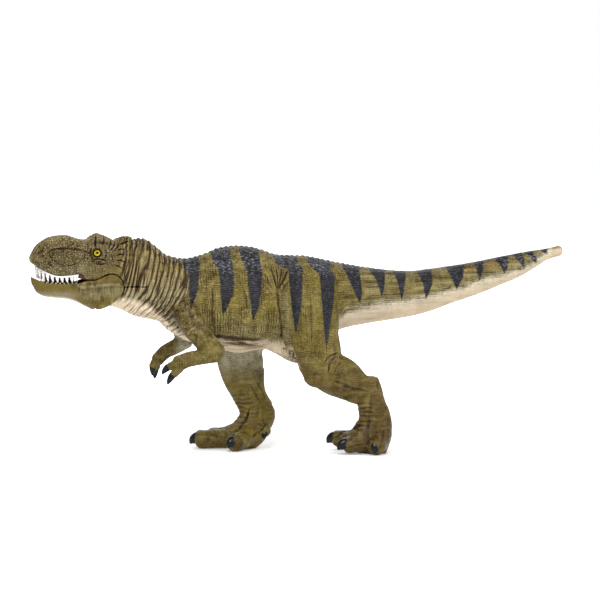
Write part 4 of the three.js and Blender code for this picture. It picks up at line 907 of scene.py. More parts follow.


# What each point of a skin has besides its paint, and where each of these begins.
# Ridge, fleck, pebble and streak also carry painted highlights, with the toy's dry-brushed paint on ridges.
# The dark wash is the toy's wash paint together with painted shade in grooves and hollows.
FIELDS = {"height": 0.0, "wash": 0.0, "ridge": 0.0, "hatch": 1.0, "upright": 1.0, "streak": 0.0,
          "fleck": 0.55, "cool": 0.0, "pebble": 0.0, "gloss": 0.0}


class Skin:
    """A cast skin with its detail height, its wash with painted shade, its painted highlights and its paint,
    worked out point by point.
    """

    def __init__(self, parts, voxel, rounds, fill_rounds):
        co, self.quads = cast(parts, voxel)
        self.co = relaxed(co, self.quads, rounds, fill_rounds)
        self.normal = normals_of(self.co, self.quads)
        mirror = np.where(self.co[:, 1:2] > 0, np.array([1.0, -1, 1]), 1.0)
        self.picture, self.seen = in_picture(self.co * mirror), in_picture(self.co)
        self.facing = ramp(-(self.normal * mirror) @ VIEW_AHEAD, 0.02, 0.3)
        self.seen_facing = ramp(-self.normal @ VIEW_AHEAD, 0.02, 0.3)
        self.wander = np.stack([noise(self.co, 4, 61), noise(self.co, 4, 62)], 1) * 0.7
        for field, start in FIELDS.items():
            setattr(self, field, np.full(len(self.co), start))
        self.paint = np.tile(linear(COLOURS["olive"]), (len(self.co), 1))

    def dye(self, name, share):
        self.paint = over(self.paint, name, share)

    def crease(self, table, where=1.0, mirrored=True):
        """Cuts tapered grooves along drawn lines, with wash and painted shade on the floor and a raised lip
        with a painted highlight.
        """
        picture, facing = (self.picture, self.facing) if mirrored else (self.seen, self.seen_facing)
        strength = facing * where * np.clip(0.85 + 0.3 * noise(self.co, 3, 60), 0, 1)
        for line, width, depth in table:
            away = trace(picture + self.wander, line, tapered=True) * PIXEL / width
            near = bell(away, 0, 1) * strength
            self.height += (bell(away, 2.2, 1.1) * strength * 0.3 - near) * depth
            self.wash += near * min(1.0, depth * 1.3)
            self.ridge += bell(away, 2.4, 0.9) * facing * where * depth * 0.4

    def carve(self, section, depth, where, painted_shading):
        """Lowers the skin by a section from -1 to 0, puts wash and painted shade in its grooves and a painted
        highlight on its ridges.
        """
        self.height += section * depth * where
        self.wash += ramp(-section, 0.12, 0.8) * where * painted_shading
        self.ridge += ramp(section, -0.3, -0.02) * where * painted_shading

    def swell(self, size, seed, depth, where, painted_shading):
        """Long soft folds from a stretched noise, with wash and painted shade in the hollows and a painted
        highlight on the swells.
        """
        field = noise(self.co, size, seed) * 0.7 + noise(self.co, np.array(size) * 0.5, seed + 1) * 0.4
        self.height += field * depth * where
        self.wash += ramp(-field, 0.05, 0.6) * painted_shading * where
        self.ridge += ramp(field, 0.1, 0.6) * painted_shading * where

    def shaped(self):
        co = self.co + self.normal * self.height[:, None]
        co[:, 2] = np.maximum(co[:, 2], 0)
        return co


def stripe_share(skin):
    """Where the dark stripes lie, from 0 to 1."""
    across, down = skin.picture.T
    ragged = noise(skin.co, 1.6, 5) * 0.3 + noise(skin.co, 0.9, 6) * 0.2
    share = np.zeros(len(across))
    for rows in stripes:
        y, left, right = np.array(rows).T
        inside = np.minimum(across - np.interp(down, y, left), np.interp(down, y, right) - across)
        inside = np.minimum(inside, (y[-1] - down) * 0.5)
        share = np.maximum(share, ramp(inside + ragged, -0.35, 0.35))
    return share * np.maximum(skin.facing, ramp(skin.normal[:, 2], 0.2, 0.5))


def sculpt_common(skin, on_body):
    """Wrinkles and folds that head, neck, trunk and tail share."""
    co, normal = skin.co, skin.normal
    x, y, z = co.T
    across, down = skin.picture.T
    neck = band(across, 117, 127, 180, 196) * fall(down, 335, 350) * on_body
    lean = 0.24 + 0.34 * ramp(down, 282, 325)
    along = x * 0.97 - (z - 98) * lean
    wide = folds(along / 3.3 + noise(co, (7, 7, 18), 1) * 0.7 + noise(co, (3, 3, 7), 2) * 0.16, 0.56)
    narrow = folds(along / 1.85 + noise(co, (6, 6, 15), 71) * 0.8 + noise(co, (2.4, 2.4, 7), 72) * 0.2, 0.66)
    patch = ramp(noise(co, (4, 4, 9), 73), -0.4, 0.4)
    strength = np.clip(0.8 + 0.5 * noise(co, (4, 4, 8), 3), 0.15, 1)
    skin.carve(np.minimum(wide, narrow * (0.3 + 0.6 * patch)), 0.85, neck * strength, 1.75)
    skin.swell((1.5, 3, 5), 4, 0.12, neck, 0.2)
    skin.swell((4, 4, 1.3), 74, 0.1, neck, 0.3)
    skin.hatch *= 1 - neck * 0.7
    skin.ridge *= 1 - neck * 0.25
    # Streaks on the neck: painted highlight and painted shade.
    skin.streak = np.maximum(skin.streak, neck)
    trunk = band(across, 182, 198, 330, 350) * on_body
    above = fall(down, 266, 272)
    skin.swell((1.8, 5, 9), 7, 0.2, trunk * (1 - above * 0.6), 0.26)
    skin.swell((4, 4, 1.5), 11, 0.12, trunk, 0.2)
    skin.swell((2.4, 2, 1.3), 14, 0.26, trunk * above, 0.3)
    # More painted highlight flecks on the trunk.
    skin.fleck += trunk * 0.3
    shelf = trace(skin.picture, shelf_line) * PIXEL
    skin.height -= bell(shelf, 0, 2.4) * 0.7 * trunk * skin.facing
    # Painted highlight above the shelf's groove.
    skin.ridge += bell(shelf, 2.2, 1.2) * 0.25 * trunk * skin.facing * above
    whorl = np.linalg.norm((skin.picture - WHORL) * (1, 0.8), axis=1) * PIXEL
    ring = band(whorl, 0.5, 2, 6, 11) * skin.facing * ramp(noise(co, 3, 16), -0.3, 0.4)
    skin.carve(folds(whorl / 1.9 + noise(co, 4, 15) * 1.2 + noise(co, 2, 18) * 0.35, 0.7), 0.35, ring, 0.6)
    back = ramp(normal[:, 2], 0.55, 0.9) * band(across, 128, 140, 545, 556) * on_body
    knobs = back * fall(across, 366, 392) * fall(np.abs(y), 2.5, 5)
    skin.height += (np.abs(np.sin(x / 2.9 * math.pi)) ** 2 - 0.3) * 0.5 * knobs
    skin.swell((1.6, 1.6, 1.6), 9, 0.14, back, 0.3)
    tail = band(across, 335, 350, 536, 548) * on_body
    skin.swell((14, 4, 1.4), 17, 0.12, tail, 0.55)
    skin.swell((1.9, 4, 5), 19, 0.08, tail, 0.16)
    skin.upright *= 1 - tail * 0.75
    skin.pebble = np.maximum(skin.pebble, back * 0.8)


def paint_common(skin, on_body):
    """Base paint of olive, brown and cream, the same on both flanks."""
    co, normal = skin.co, skin.normal
    across, down = skin.picture.T
    blotch = noise(co, 16, 20) * 0.6 + noise(co, 6, 21) * 0.4
    skin.dye("brown", ramp(blotch, -0.1, 0.6) * 0.5)
    skin.dye("light", ramp(-blotch, 0.0, 0.7) * 0.28)
    neck = band(across, 116, 130, 176, 196)
    skin.dye("brown", neck * 0.6 * on_body)
    skin.dye("grey", neck * ramp(down, 270, 296) * 0.6 * on_body * (0.75 + 0.25 * noise(co, 4, 23)))
    low = band(across, 196, 220, 300, 320) * ramp(down, 306, 336)
    skin.dye("grey", low * 0.3 * on_body * (0.7 + 0.3 * noise(co, 8, 26)))
    # A pale band beside the thigh's seam: a painted highlight.
    seam = trace(skin.picture + skin.wander * 2, thigh_seam, tapered=True) * PIXEL
    skin.dye("ash", bell(seam, 0, 3.4) * skin.facing * 0.2)
    for left, right, top, bottom in rust_spots:
        spot = band(across, left, left + 4, right - 4, right) * band(down, top, top + 3, bottom - 3, bottom)
        skin.dye("rust", spot * ramp(noise(co, 1.2, 28), -0.5, 0.3) * 0.85)
    line = np.array(cream_line)
    below = down - np.interp(across, line[:, 0], line[:, 1])
    soft = noise(co, 3, 24) * 1.2 + noise(co, 1.2, 25)
    under = ramp(below + soft, -3.5, 3.5) * on_body
    under = np.maximum(under, ramp(-normal[:, 2], 0.55, 0.85) * on_body * ramp(below, -16, -4))
    edge = ramp(below + soft, -11, -1) * fall(across, 545, 560)
    skin.dye("grey", edge * 0.6 * on_body)
    tail = ramp(across, 335, 360)
    skin.dye("brown", tail * 0.2 * on_body)
    skin.dye("grey", tail * 0.16 * on_body)
    skin.dye("ash", ramp(below + soft, -6, 0) * tail * 0.75 * on_body)
    cream = under * ramp(across, 103, 112)
    skin.dye("cream", cream)
    skin.dye("sand", cream * ramp(across, 190, 215) * (0.62 + 0.2 * noise(co, 7, 29)))
    skin.dye("ash", cream * tail * fall(below, 0, 7) * 0.5)
    belly = band(across, 206, 216, 252, 276) * band(below, -12, -8, 0, 4)
    skin.wash += belly * on_body * ramp(noise(co, (9, 3, 1.2), 75), -0.2, 0.4) * 1.1
    tip = ramp(across, 549, 555)
    skin.dye("sand", tip * 0.7)
    skin.dye("brown", tip * np.maximum(ramp(normal[:, 2], 0.3, 0.8), ramp(across, 561, 566)) * 0.75)
    patch = band(across, 280, 286, 296, 300) * band(down, 346, 350, 362, 366)
    skin.wash += patch * on_body * ramp(noise(co, 1.3, 27), -0.5, 0.3) * 0.8
    skin.wash *= 1 - cream * (0.55 + 0.1 * tail)
    skin.hatch *= 1 - cream * 0.75
    stripe = stripe_share(skin) * (1 - cream * 0.6)
    # Painted highlight flecks on the stripes, more towards the top of the back.
    high = fall(down, 262, 280)
    skin.ridge *= 1 - stripe * (0.9 - 0.4 * high)
    skin.fleck = skin.fleck * (1 - stripe) + stripe * (0.3 + 1.2 * high)
    skin.cool = stripe
    skin.streak *= 1 - cream * 0.7
    skin.fleck *= 1 - cream
    skin.upright *= 1 - stripe * 0.4
    skin.hatch *= 1 - stripe * 0.75
    skin.dye("stripe", stripe)


def in_arm(co):
    """Places in front of the legs and above the feet, where the limbs are arms."""
    return (co[:, 0] <= ARM_END) & (co[:, 2] > FOOT_TOP)


def limb_wrinkles(skin, limb):
    """Fine folds round the limbs, scutes down the front of the feet and bars across the toes."""
    co = skin.co
    x, y, z = co.T
    warp = noise(co, 7, 30) * 0.4 + noise(co, 3, 31) * 0.15
    high = limb * ramp(z, 48, 60)
    skin.swell((2.0, 6, 12), 32, 0.14, high, 0.26)
    skin.swell((6, 6, 1.7), 34, 0.1, high, 0.24)
    shank = limb * fall(z, 48, 60) * ramp(z, 22, 30)
    skin.swell((9, 9, 1.9), 36, 0.14, shank, 0.3)
    skin.swell((2.2, 5, 8), 38, 0.12, shank, 0.22)
    front = ramp(-skin.normal[:, 0], -0.15, 0.5)
    foot = limb * fall(z, 26, 34) * ramp(z, 11, 15)
    skin.carve(folds(z / 2.6 + warp * 1.5, 0.8), 0.36, foot * (0.15 + 0.85 * front), 0.5)
    toes = limb * fall(z, 11, 15) * (x < TOES_END)
    skin.swell((3.6, 3.6, 3), 43, 0.42, toes * ramp(z, 1, 3), 0.24)
    bars = folds((x + y * 0.4) / 2.3 + warp * 2, 0.8)
    skin.carve(bars, 0.16, toes * ramp(skin.normal[:, 2], -0.1, 0.5), 0.16)
    skin.swell((2.2, 2.2, 1.3), 40, 0.16, limb * fall(z, 26, 34), 0.26)
    skin.swell((5, 5, 4), 41, 0.14, limb * fall(z, 26, 34), 0.2)
    arm = limb * in_arm(co)
    skin.swell((1.3, 3, 3), 77, 0.18, arm * ramp(z, 58, 66), 0.4)
    skin.swell((3, 3, 1.6), 78, 0.1, arm, 0.3)
    # Painted highlight on the arms' upper sides.
    skin.ridge += arm * ramp(skin.normal[:, 2], 0.4, 0.85) * ramp(noise(co, 1.5, 79), -0.3, 0.3) * 0.7


class Look:
    """The nodes of a material or world. Each call gives the socket that its new node ends in."""

    def __init__(self, owner, end="Principled BSDF"):
        owner.use_nodes = True
        self.tree = owner.node_tree
        self.end = self.tree.nodes[end]

    def feed(self, node, inputs):
        """Sets each input to a value, or links it to another node's socket."""
        for entry, value in inputs.items():
            if isinstance(value, bpy.types.NodeSocket):
                self.tree.links.new(value, node.inputs[entry])
            else:
                node.inputs[entry].default_value = value

    def add(self, kind, inputs, out=0, **settings):
        node = self.tree.nodes.new("ShaderNode" + kind)
        for key, value in settings.items():
            setattr(node, key, value)
        self.feed(node, inputs)
        return node.outputs[out]

    def place(self):
        return self.add("TexCoord", {}, "Object")

    def field(self, name, out="Fac"):
        """A field that the mesh carries."""
        return self.add("Attribute", {}, out, attribute_name=name)

    def ray(self, kind):
        return self.add("LightPath", {}, f"Is {kind} Ray")

    def math(self, operation, a, b=0.5, clamp=False):
        return self.add("Math", {0: a, 1: b}, operation=operation, use_clamp=clamp)

    def ranged(self, value, low, high, to_low, to_high, kind="LINEAR"):
        limits = {"From Min": low, "From Max": high, "To Min": to_low, "To Max": to_high}
        return self.add("MapRange", {"Value": value, **limits}, "Result", interpolation_type=kind)

    def eased(self, *limits):
        return self.ranged(*limits, kind="SMOOTHSTEP")

    def noise(self, scale, detail=2.0, roughness=0.5, out="Fac", **at):
        return self.add("TexNoise", {"Scale": scale, "Detail": detail, "Roughness": roughness, **at}, out)

    def mixed(self, share, a, b):
        return self.add("Mix", {0: share, 2: a, 3: b}, data_type="FLOAT")

    def blended(self, share, a, b, blend="MIX"):
        """Two colours, each a socket or the name of a colour."""
        pair = [(*linear(COLOURS[c]), 1) if isinstance(c, str) else c for c in (a, b)]
        return self.add("Mix", {0: share, 6: pair[0], 7: pair[1]}, 2, data_type="RGBA", blend_type=blend)

    def scaled(self, colour, size):
        return self.add("VectorMath", {0: colour, "Scale": size}, operation="SCALE")


def skin_material(name):
    """Painted vinyl: paint from the mesh, small scales and a wash with painted shade from procedural
    textures, and painted highlights.
    """
    material = bpy.data.materials.new(name)
    look = Look(material)
    place = look.place()
    drift = look.noise(210.0, out="Color", Vector=place)
    bent = look.add("VectorMath", {0: drift, 1: (0.0024,) * 3, 2: place}, operation="MULTIPLY_ADD")

    def lines(axis, spacing, patch_scale):
        """Scored lines, broken up into patches."""
        turned = look.math("MULTIPLY", look.add("SeparateXYZ", {0: bent}, axis), 2 * math.pi / spacing)
        dark = look.eased(look.math("SINE", turned), -1.0, -0.1, 1.0, 0.0)
        patch = look.noise(patch_scale, 1.0, Vector=place)
        return look.math("MULTIPLY", dark, look.eased(patch, 0.4, 0.6, 0.1, 1.0))

    def stretched(size, lean):
        turned = {"Vector": place, "Rotation": (0, lean, 0), "Scale": size}
        return look.noise(1.0, 2.0, 0.55, Vector=look.add("Mapping", turned, vector_type="TEXTURE"))

    weave, knobs, cool, streaked = (look.field(key) for key in ("hatch", "pebble", "cool", "streak"))
    rows = lines("Z", 0.00106, 190.0)
    columns = look.math("MULTIPLY", lines("X", 0.00142, 150.0), look.field("upright"))
    hatch = look.math("MULTIPLY", look.math("MAXIMUM", columns, rows), weave)
    cells = look.add("TexVoronoi", {"Vector": place, "Scale": 830.0, "Randomness": 0.8}, "Distance",
                     feature="DISTANCE_TO_EDGE")
    # Wash and painted shade in the scored lines and between the pebbles.
    gap = look.mixed(knobs, hatch, look.eased(cells, 0.03, 0.24, 1.0, 0.0))
    grain = look.noise(900.0, 4.0, 0.65, Vector=place)
    grained = look.mixed(weave, 1.0, look.eased(grain, 0.3, 0.7, 0.66, 1.38))
    tint = look.scaled(look.field("paint", "Color"), grained)
    # Painted highlight flecks.
    fleck = look.eased(stretched((0.0018, 0.0012, 0.0006), 0.06), 0.54, 0.62, 0.0, 0.8)
    # Fine streaks: painted highlight on the pale ones, wash and painted shade on the deep ones.
    streak = stretched((0.0008, 0.002, 0.009), 0.26)
    pale = look.math("MULTIPLY", look.eased(streak, 0.53, 0.63, 0.0, 0.5), streaked)
    deep = look.math("MULTIPLY", look.eased(streak, 0.38, 0.5, 0.4, 0.0), streaked)
    # Painted highlight on the pebbles' crowns.
    crown = look.math("MULTIPLY", look.eased(cells, 0.24, 0.46, 0.0, 1.0), knobs)
    flecks = look.math("MULTIPLY", fleck, look.field("fleck"), clamp=True)
    # Painted highlight along the scored rows on the stripes.
    scored = look.math("MULTIPLY", look.math("MULTIPLY", rows, cool), 0.28)
    # All painted highlights, with the toy's dry-brushed paint on ridges, screened over the paint in a warm or
    # cool tint.
    bright = look.field("ridge")
    for other in (crown, pale, flecks, scored):
        bright = look.math("MAXIMUM", bright, other)
    brushed = look.blended(bright, tint, look.blended(cool, "warm_ridge", "cool_ridge"), "SCREEN")
    # Wash and painted shade, multiplied into the paint.
    hollow = look.math("ADD", look.math("MULTIPLY", gap, 0.7), look.field("wash"))
    washed = look.blended(look.math("ADD", hollow, deep, clamp=True), brushed, "painted_shading", "MULTIPLY")
    rough = look.math("SUBTRACT", look.eased(grain, 0.3, 0.7, 0.44, 0.6), look.field("gloss"))
    relief = look.math("SUBTRACT", look.math("MULTIPLY", grain, 0.5), gap)
    bump = look.add("Bump", {"Height": relief, "Strength": 0.75, "Distance": 0.0003})
    look.feed(look.end, {"Base Color": washed, "Specular IOR Level": 0.2, "Roughness": rough, "Normal": bump})
    return material


def plain_material(name, colour, roughness, metallic=0.0, speckle=0.1, size=600.0, sheen=0.5):
    """A smooth moulded or polished surface with slight mottling from noise."""
    material = bpy.data.materials.new(name)
    look = Look(material)
    grain = look.noise(size, 3.0, Vector=look.place())
    mottled = look.add("ValToRGB", {"Fac": grain})
    stops = mottled.node.color_ramp.elements
    for stop, position, share in zip(stops, (0.3, 0.7), (1 - speckle, 1 + speckle)):
        stop.position = position
        stop.color = (*np.minimum(linear(colour) * share, 1), 1)
    spread = look.ranged(grain, 0.0, 1.0, roughness * 0.85, roughness * 1.15)
    bump = look.add("Bump", {"Height": grain, "Strength": 0.5, "Distance": 0.00004})
    look.feed(look.end, {"Base Color": mottled, "Metallic": metallic, "Specular IOR Level": sheen,
                         "Roughness": spread, "Normal": bump})
    return material


def eye_material():
    material = bpy.data.materials.new("glossy_eye_paint")
    look = Look(material)
    tint = look.scaled(look.field("paint", "Color"), look.ranged(look.noise(1800.0), 0.0, 1.0, 0.8, 1.2))
    look.feed(look.end, {"Base Color": tint, "Roughness": 0.3, "Specular IOR Level": 0.15})
    return material


SKIN = skin_material("painted_vinyl_skin")
CLAW = plain_material("black_claw_gloss", (9, 10, 13), 0.26, speckle=0.3, sheen=0.3)
TOOTH = plain_material("white_tooth_gloss", (240, 238, 232), 0.3, speckle=0.05)
FLESH = plain_material("mouth_flesh", (92, 34, 34), 0.35, speckle=0.2)
# The tongue is a darker flesh than the mouth corners: painted shade inside the mouth.
TONGUE = plain_material("tongue_flesh", (54, 20, 20), 0.4, speckle=0.2)
STEEL = plain_material("brushed_steel_pin", (186, 188, 190), 0.32, metallic=1.0, speckle=0.12, size=2400.0)
EYE_PAINT = eye_material()


def piece(name, co, tris, material, body, replaced=(), normals=None, layers=None):
    """A finished piece of the figure, from points in millimetres."""
    mesh = new_mesh((co + SHIFT) * MM, tris)
    mesh.name = name
    for key, values in (layers or {}).items():
        if values.ndim == 2:
            layer = mesh.attributes.new(key, "FLOAT_COLOR", "POINT")
            layer.data.foreach_set("color", np.column_stack([values, np.ones(len(values))]).ravel())
        else:
            layer = mesh.attributes.new(key, "FLOAT", "POINT")
            layer.data.foreach_set("value", values)
    mesh.polygons.foreach_set("use_smooth", np.ones(len(tris), bool))
    if normals is not None:
        mesh.normals_split_custom_set_from_vertices(normals.tolist())
    mesh.materials.append(material)
    made = added(name, mesh)
    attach(made, body)
    if replaced:
        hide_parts(*replaced)


def plain_piece(name, meshes, material, body, replaced=()):
    co, tris = triangles(joined(meshes))
    piece(name, co, tris, material, body, replaced)


def capped(tris, co, depth):
    """Closes each open rim of a part of a skin with a fan to a point a little inside."""
    directed = np.vstack([tris[:, [0, 1]], tris[:, [1, 2]], tris[:, [2, 0]]])
    keys = directed[:, 0].astype(np.int64) * len(co) + directed[:, 1]
    back = directed[:, 1].astype(np.int64) * len(co) + directed[:, 0]
    rim = directed[~np.isin(keys, back)]
    following = {}
    for a, b in rim.tolist():
        following.setdefault(a, []).append(b)
    middle = co[np.unique(tris)].mean(0)
    extra, fans = [], []
    while following:
        start = next(iter(following))
        loop, at = [start], following[start].pop()
        while at != start and at in following and following[at]:
            loop.append(at)
            at = following[at].pop()
        following = {k: v for k, v in following.items() if v}
        centre = co[loop].mean(0)
        inward = middle - centre
        centre = centre + inward / max(np.linalg.norm(inward), 1e-6) * depth
        index = len(co) + len(extra)
        extra.append(centre)
        fans += [(b, a, index) for a, b in zip(loop, loop[1:] + loop[:1])]
    if not extra:
        return co, tris
    return np.vstack([co, extra]), np.vstack([tris, np.array(fans)])


def skin_pieces(skin, labels, nodes, body="figure"):
    """Splits a skin by face label into closed pieces that keep the whole skin's shading."""
    co = skin.shaped()
    normal = normals_of(co, skin.quads)
    halves = np.vstack([skin.quads[:, [0, 1, 2]], skin.quads[:, [0, 2, 3]]])
    twice = np.concatenate([labels, labels])
    wash, ridge = np.clip(skin.wash, 0, 1), np.clip(skin.ridge, 0, 1)
    for label, node in enumerate(nodes):
        points, tris = capped(halves[twice == label], co, 1.0)
        used, local = np.unique(tris, return_inverse=True)
        outer = used[used < len(co)]
        caps = len(used) - len(outer)

        def layer(values, cap=0.0):
            """The skin's values at the piece's points, then one value at the middle of each cap."""
            return np.concatenate([values[outer], np.full((caps, *values.shape[1:]), cap)])

        layers = {key: layer(getattr(skin, key)) for key in FIELDS if key != "height"}
        layers.update(wash=layer(wash, 1.0), ridge=layer(ridge))
        layers["paint"] = layer(skin.paint, linear(COLOURS["dark"]))
        piece(f"{node}_skin", points[used], local.reshape(-1, 3), SKIN, body, (node,),
              layer(normal, (0.0, 0.0, 1.0)), layers)


EYE_RADIUS, EYE_SIDE = 2.3, -10.5
# How far paint reaches past a hidden edge, where the mouth ends behind the pin, and its half width.
PAINT_MARGIN, MOUTH_END, MOUTH_HALF = 0.4, PIVOT[0] + 4, 12


def lip_height(x):
    return np.interp(x, LIP[:, 0], LIP[:, 1])


def make_head():
    skin = Skin(head_parts(), HEAD_VOXEL, rounds=6, fill_rounds=20)
    co, normal = skin.co, skin.normal
    x, y, z = co.T
    across, down = skin.picture.T
    on_body = np.ones(len(co))
    sculpt_common(skin, on_body)
    skin.wander *= 0.2 + 0.8 * ramp(across, 124, 136)[:, None]
    skin.crease(body_creases)
    face = fall(across, 110, 124)
    snout = fall(across, 86, 94)
    cheek = ramp(down, 262, 268) * ramp(across, 76, 84)
    skin.pebble = np.maximum(skin.pebble, face * (1 - cheek * 0.8))
    brow = ramp(across, 86, 92) * fall(down, 246, 252) * face
    skin.swell((1.8, 1.8, 1.8), 42, 0.2, face * (1 - cheek) * (1 - brow * 0.8), 0.4)
    # Painted highlight on the brow.
    skin.ridge += brow * 0.3
    skin.pebble *= 1 - brow * 0.6
    skin.swell((4, 4, 3), 44, 0.2, face * ramp(normal[:, 2], 0.1, 0.7), 0.2)
    skin.swell((1.3, 4, 7), 46, 0.1, face * cheek, 0.3)
    spot = np.linalg.norm(skin.picture - EYE, axis=1) * PIXEL
    skin.height -= fall(spot, 1.4, 3.1) * 1.2 * skin.facing
    skin.height += bell(spot, 3.5, 0.7) * 0.35 * skin.facing
    # Dark round the eye in its socket: painted shade.
    skin.wash += fall(spot, 2.0, 3.4) * skin.facing
    skin.pebble *= ramp(spot, 2.5, 4.5)
    hole = np.linalg.norm((skin.picture - NOSTRIL) * (0.7, 1), axis=1) * PIXEL
    skin.height -= fall(hole, 0.4, 1.3) * 0.6 * skin.facing
    # Painted shade in the nostril.
    skin.wash += fall(hole, 0.3, 1.2) * skin.facing * 0.15
    skin.height += bell(z - lip_height(x), 1.6, 1.1) * 0.3 * fall(across, 78, 84) * skin.facing
    paint_common(skin, on_body)
    skin.dye("brown", face * 0.25)
    skin.dye("grey", snout * ramp(down, 258, 272) * 0.25)
    skin.cool = np.maximum(skin.cool, face * 0.4)
    skin.dye("grey", face * 0.1)
    # Lighter tan on the snout's top and front: a painted highlight.
    tan = snout * np.maximum(ramp(normal[:, 2], 0.25, 0.8), fall(across, 30, 44)) * 0.7
    skin.dye("light", tan * (0.7 + 0.3 * noise(co, 1.6, 48)))
    in_mouth = ramp(-normal[:, 2], 0.5, 0.8) * fall(z - lip_height(x), 0.6, 1.4) * (x < MOUTH_END)
    in_mouth = in_mouth * (np.abs(y) < MOUTH_HALF)
    skin.dye("flesh", in_mouth)
    from_pin = np.hypot(x - PIVOT[0], z - PIVOT[2])
    joint = (np.abs(y) < JAW_EAR_INSET + PAINT_MARGIN) & (from_pin < JAW_BOSS_RADIUS + PAINT_MARGIN)
    skin.dye("dark", joint.astype(float))
    skin_pieces(skin, np.zeros(len(skin.quads), int), ["head"])
    return skin


def make_body():
    skin = Skin(trunk_parts(), SKIN_VOXEL, rounds=5, fill_rounds=32)
    co, normal = skin.co, skin.normal
    x, y, z = co.T
    on_body = body_nearness(co)
    limb = 1 - on_body
    sculpt_common(skin, on_body)
    skin.crease(body_creases)
    skin.crease(left_leg_creases, (y < 0) * 1.0, mirrored=False)
    skin.crease(right_leg_creases, (y > 0) * limb, mirrored=False)
    limb_wrinkles(skin, limb * (z < LIMB_TOP))
    paint_common(skin, on_body)
    arm_share = limb * in_arm(co)
    leg_share = limb - arm_share
    across, down = skin.seen.T
    groin = ramp(across, 270, 276) * fall(across - 291 - (down - 343) * 0.4, -1.5, 1)
    groin = groin * band(down, 344.5, 348.5, 366, 370) * (y < 0) * skin.seen_facing
    skin.dye("olive", leg_share * 0.4 * (1 - stripe_share(skin)))
    skin.dye("cream", groin * 0.8)
    skin.dye("grey", groin * ramp(across, 283, 293) * 0.6)
    skin.wash += groin * ramp(across, 284, 292) * ramp(noise(co, 1.3, 83), -0.2, 0.4) * 0.7
    far_arm = arm_share * (y > 0) * ramp(skin.seen[:, 0], 172, 181)
    inner = ramp(-np.sign(y) * normal[:, 1], 0.0, 0.6) * leg_share * ramp(z, 36, 52)
    inner = np.maximum(inner, far_arm * 0.9)
    skin.swell((1.6, 1.6, 1.3), 80, 0.12, inner, 0.3)
    skin.dye("grey", inner * 0.95)
    skin.dye("ash", inner * ramp(z, 42, 56) * 0.45)
    skin.hatch *= (1 - inner * 0.25) * (1 - leg_share * fall(z, 34, 60) * 0.55)
    throat = (np.abs(y) < JAW_EAR_INSET + PAINT_MARGIN) & (x < MOUTH_END) & (normal[:, 0] < -0.3)
    skin.dye("flesh", throat.astype(float))
    near = np.where(y < 0, 1.0, 0.32)
    leg_share = leg_share * (1 - groin)
    skin.wash += leg_share * fall(z, 18, 56) * (y < 0) * 0.14
    skin.dye("umber", leg_share * fall(z, 18, 62) * near)
    skin.dye("brown", leg_share * fall(z, 50, 74) * (y < 0) * 0.4)
    # Gold spots on the lower legs: a painted sheen.
    gold_sheen = ramp(noise(co, (2.6, 2.6, 1.6), 82), -0.1, 0.6) * fall(z, 22, 50)
    skin.dye("gold_sheen", leg_share * gold_sheen * 0.28)
    skin.upright *= 1 - leg_share * (0.3 + 0.3 * fall(z, 40, 66))
    skin.fleck *= 1 - leg_share * fall(z, 30, 60) * 0.5
    skin.gloss = leg_share * fall(z, 20, 50) * 0.18 + arm_share * 0.1
    skin.ridge *= 1 - leg_share * fall(z, 16, 50) * 0.65
    skin.hatch *= 1 - arm_share * 0.45
    skin.pebble = np.maximum(skin.pebble, arm_share * (1 - inner) * 0.3)
    skin.dye("umber", arm_share * ramp(z, 62, 74) * 0.5 * (1 - inner))
    mid = co[skin.quads].mean(1)
    on_limb = on_body[skin.quads].mean(1) < 0.5
    labels = np.where(mid[:, 0] > TAIL_ROOT_X, 1, 0)
    leg = on_limb & ~in_arm(mid)
    arm = on_limb & in_arm(mid) & (mid[:, 2] < ARM_TOP)
    labels = np.where(leg, np.where(mid[:, 1] < 0, 2, 3), labels)
    labels = np.where(arm, np.where(mid[:, 1] < 0, 4, 5), labels)
    skin_pieces(skin, labels, ["trunk", "tail", "left_leg", "right_leg", "left_arm", "right_arm"])
    for name, parts in (("left_foot_claws", leg_claws(left_leg)), ("right_foot_claws", leg_claws(right_leg)),
                        ("left_hand_claws", arm_claws(left_arm)), ("right_hand_claws", arm_claws(right_arm))):
        plain_piece(name, parts, CLAW, "figure")


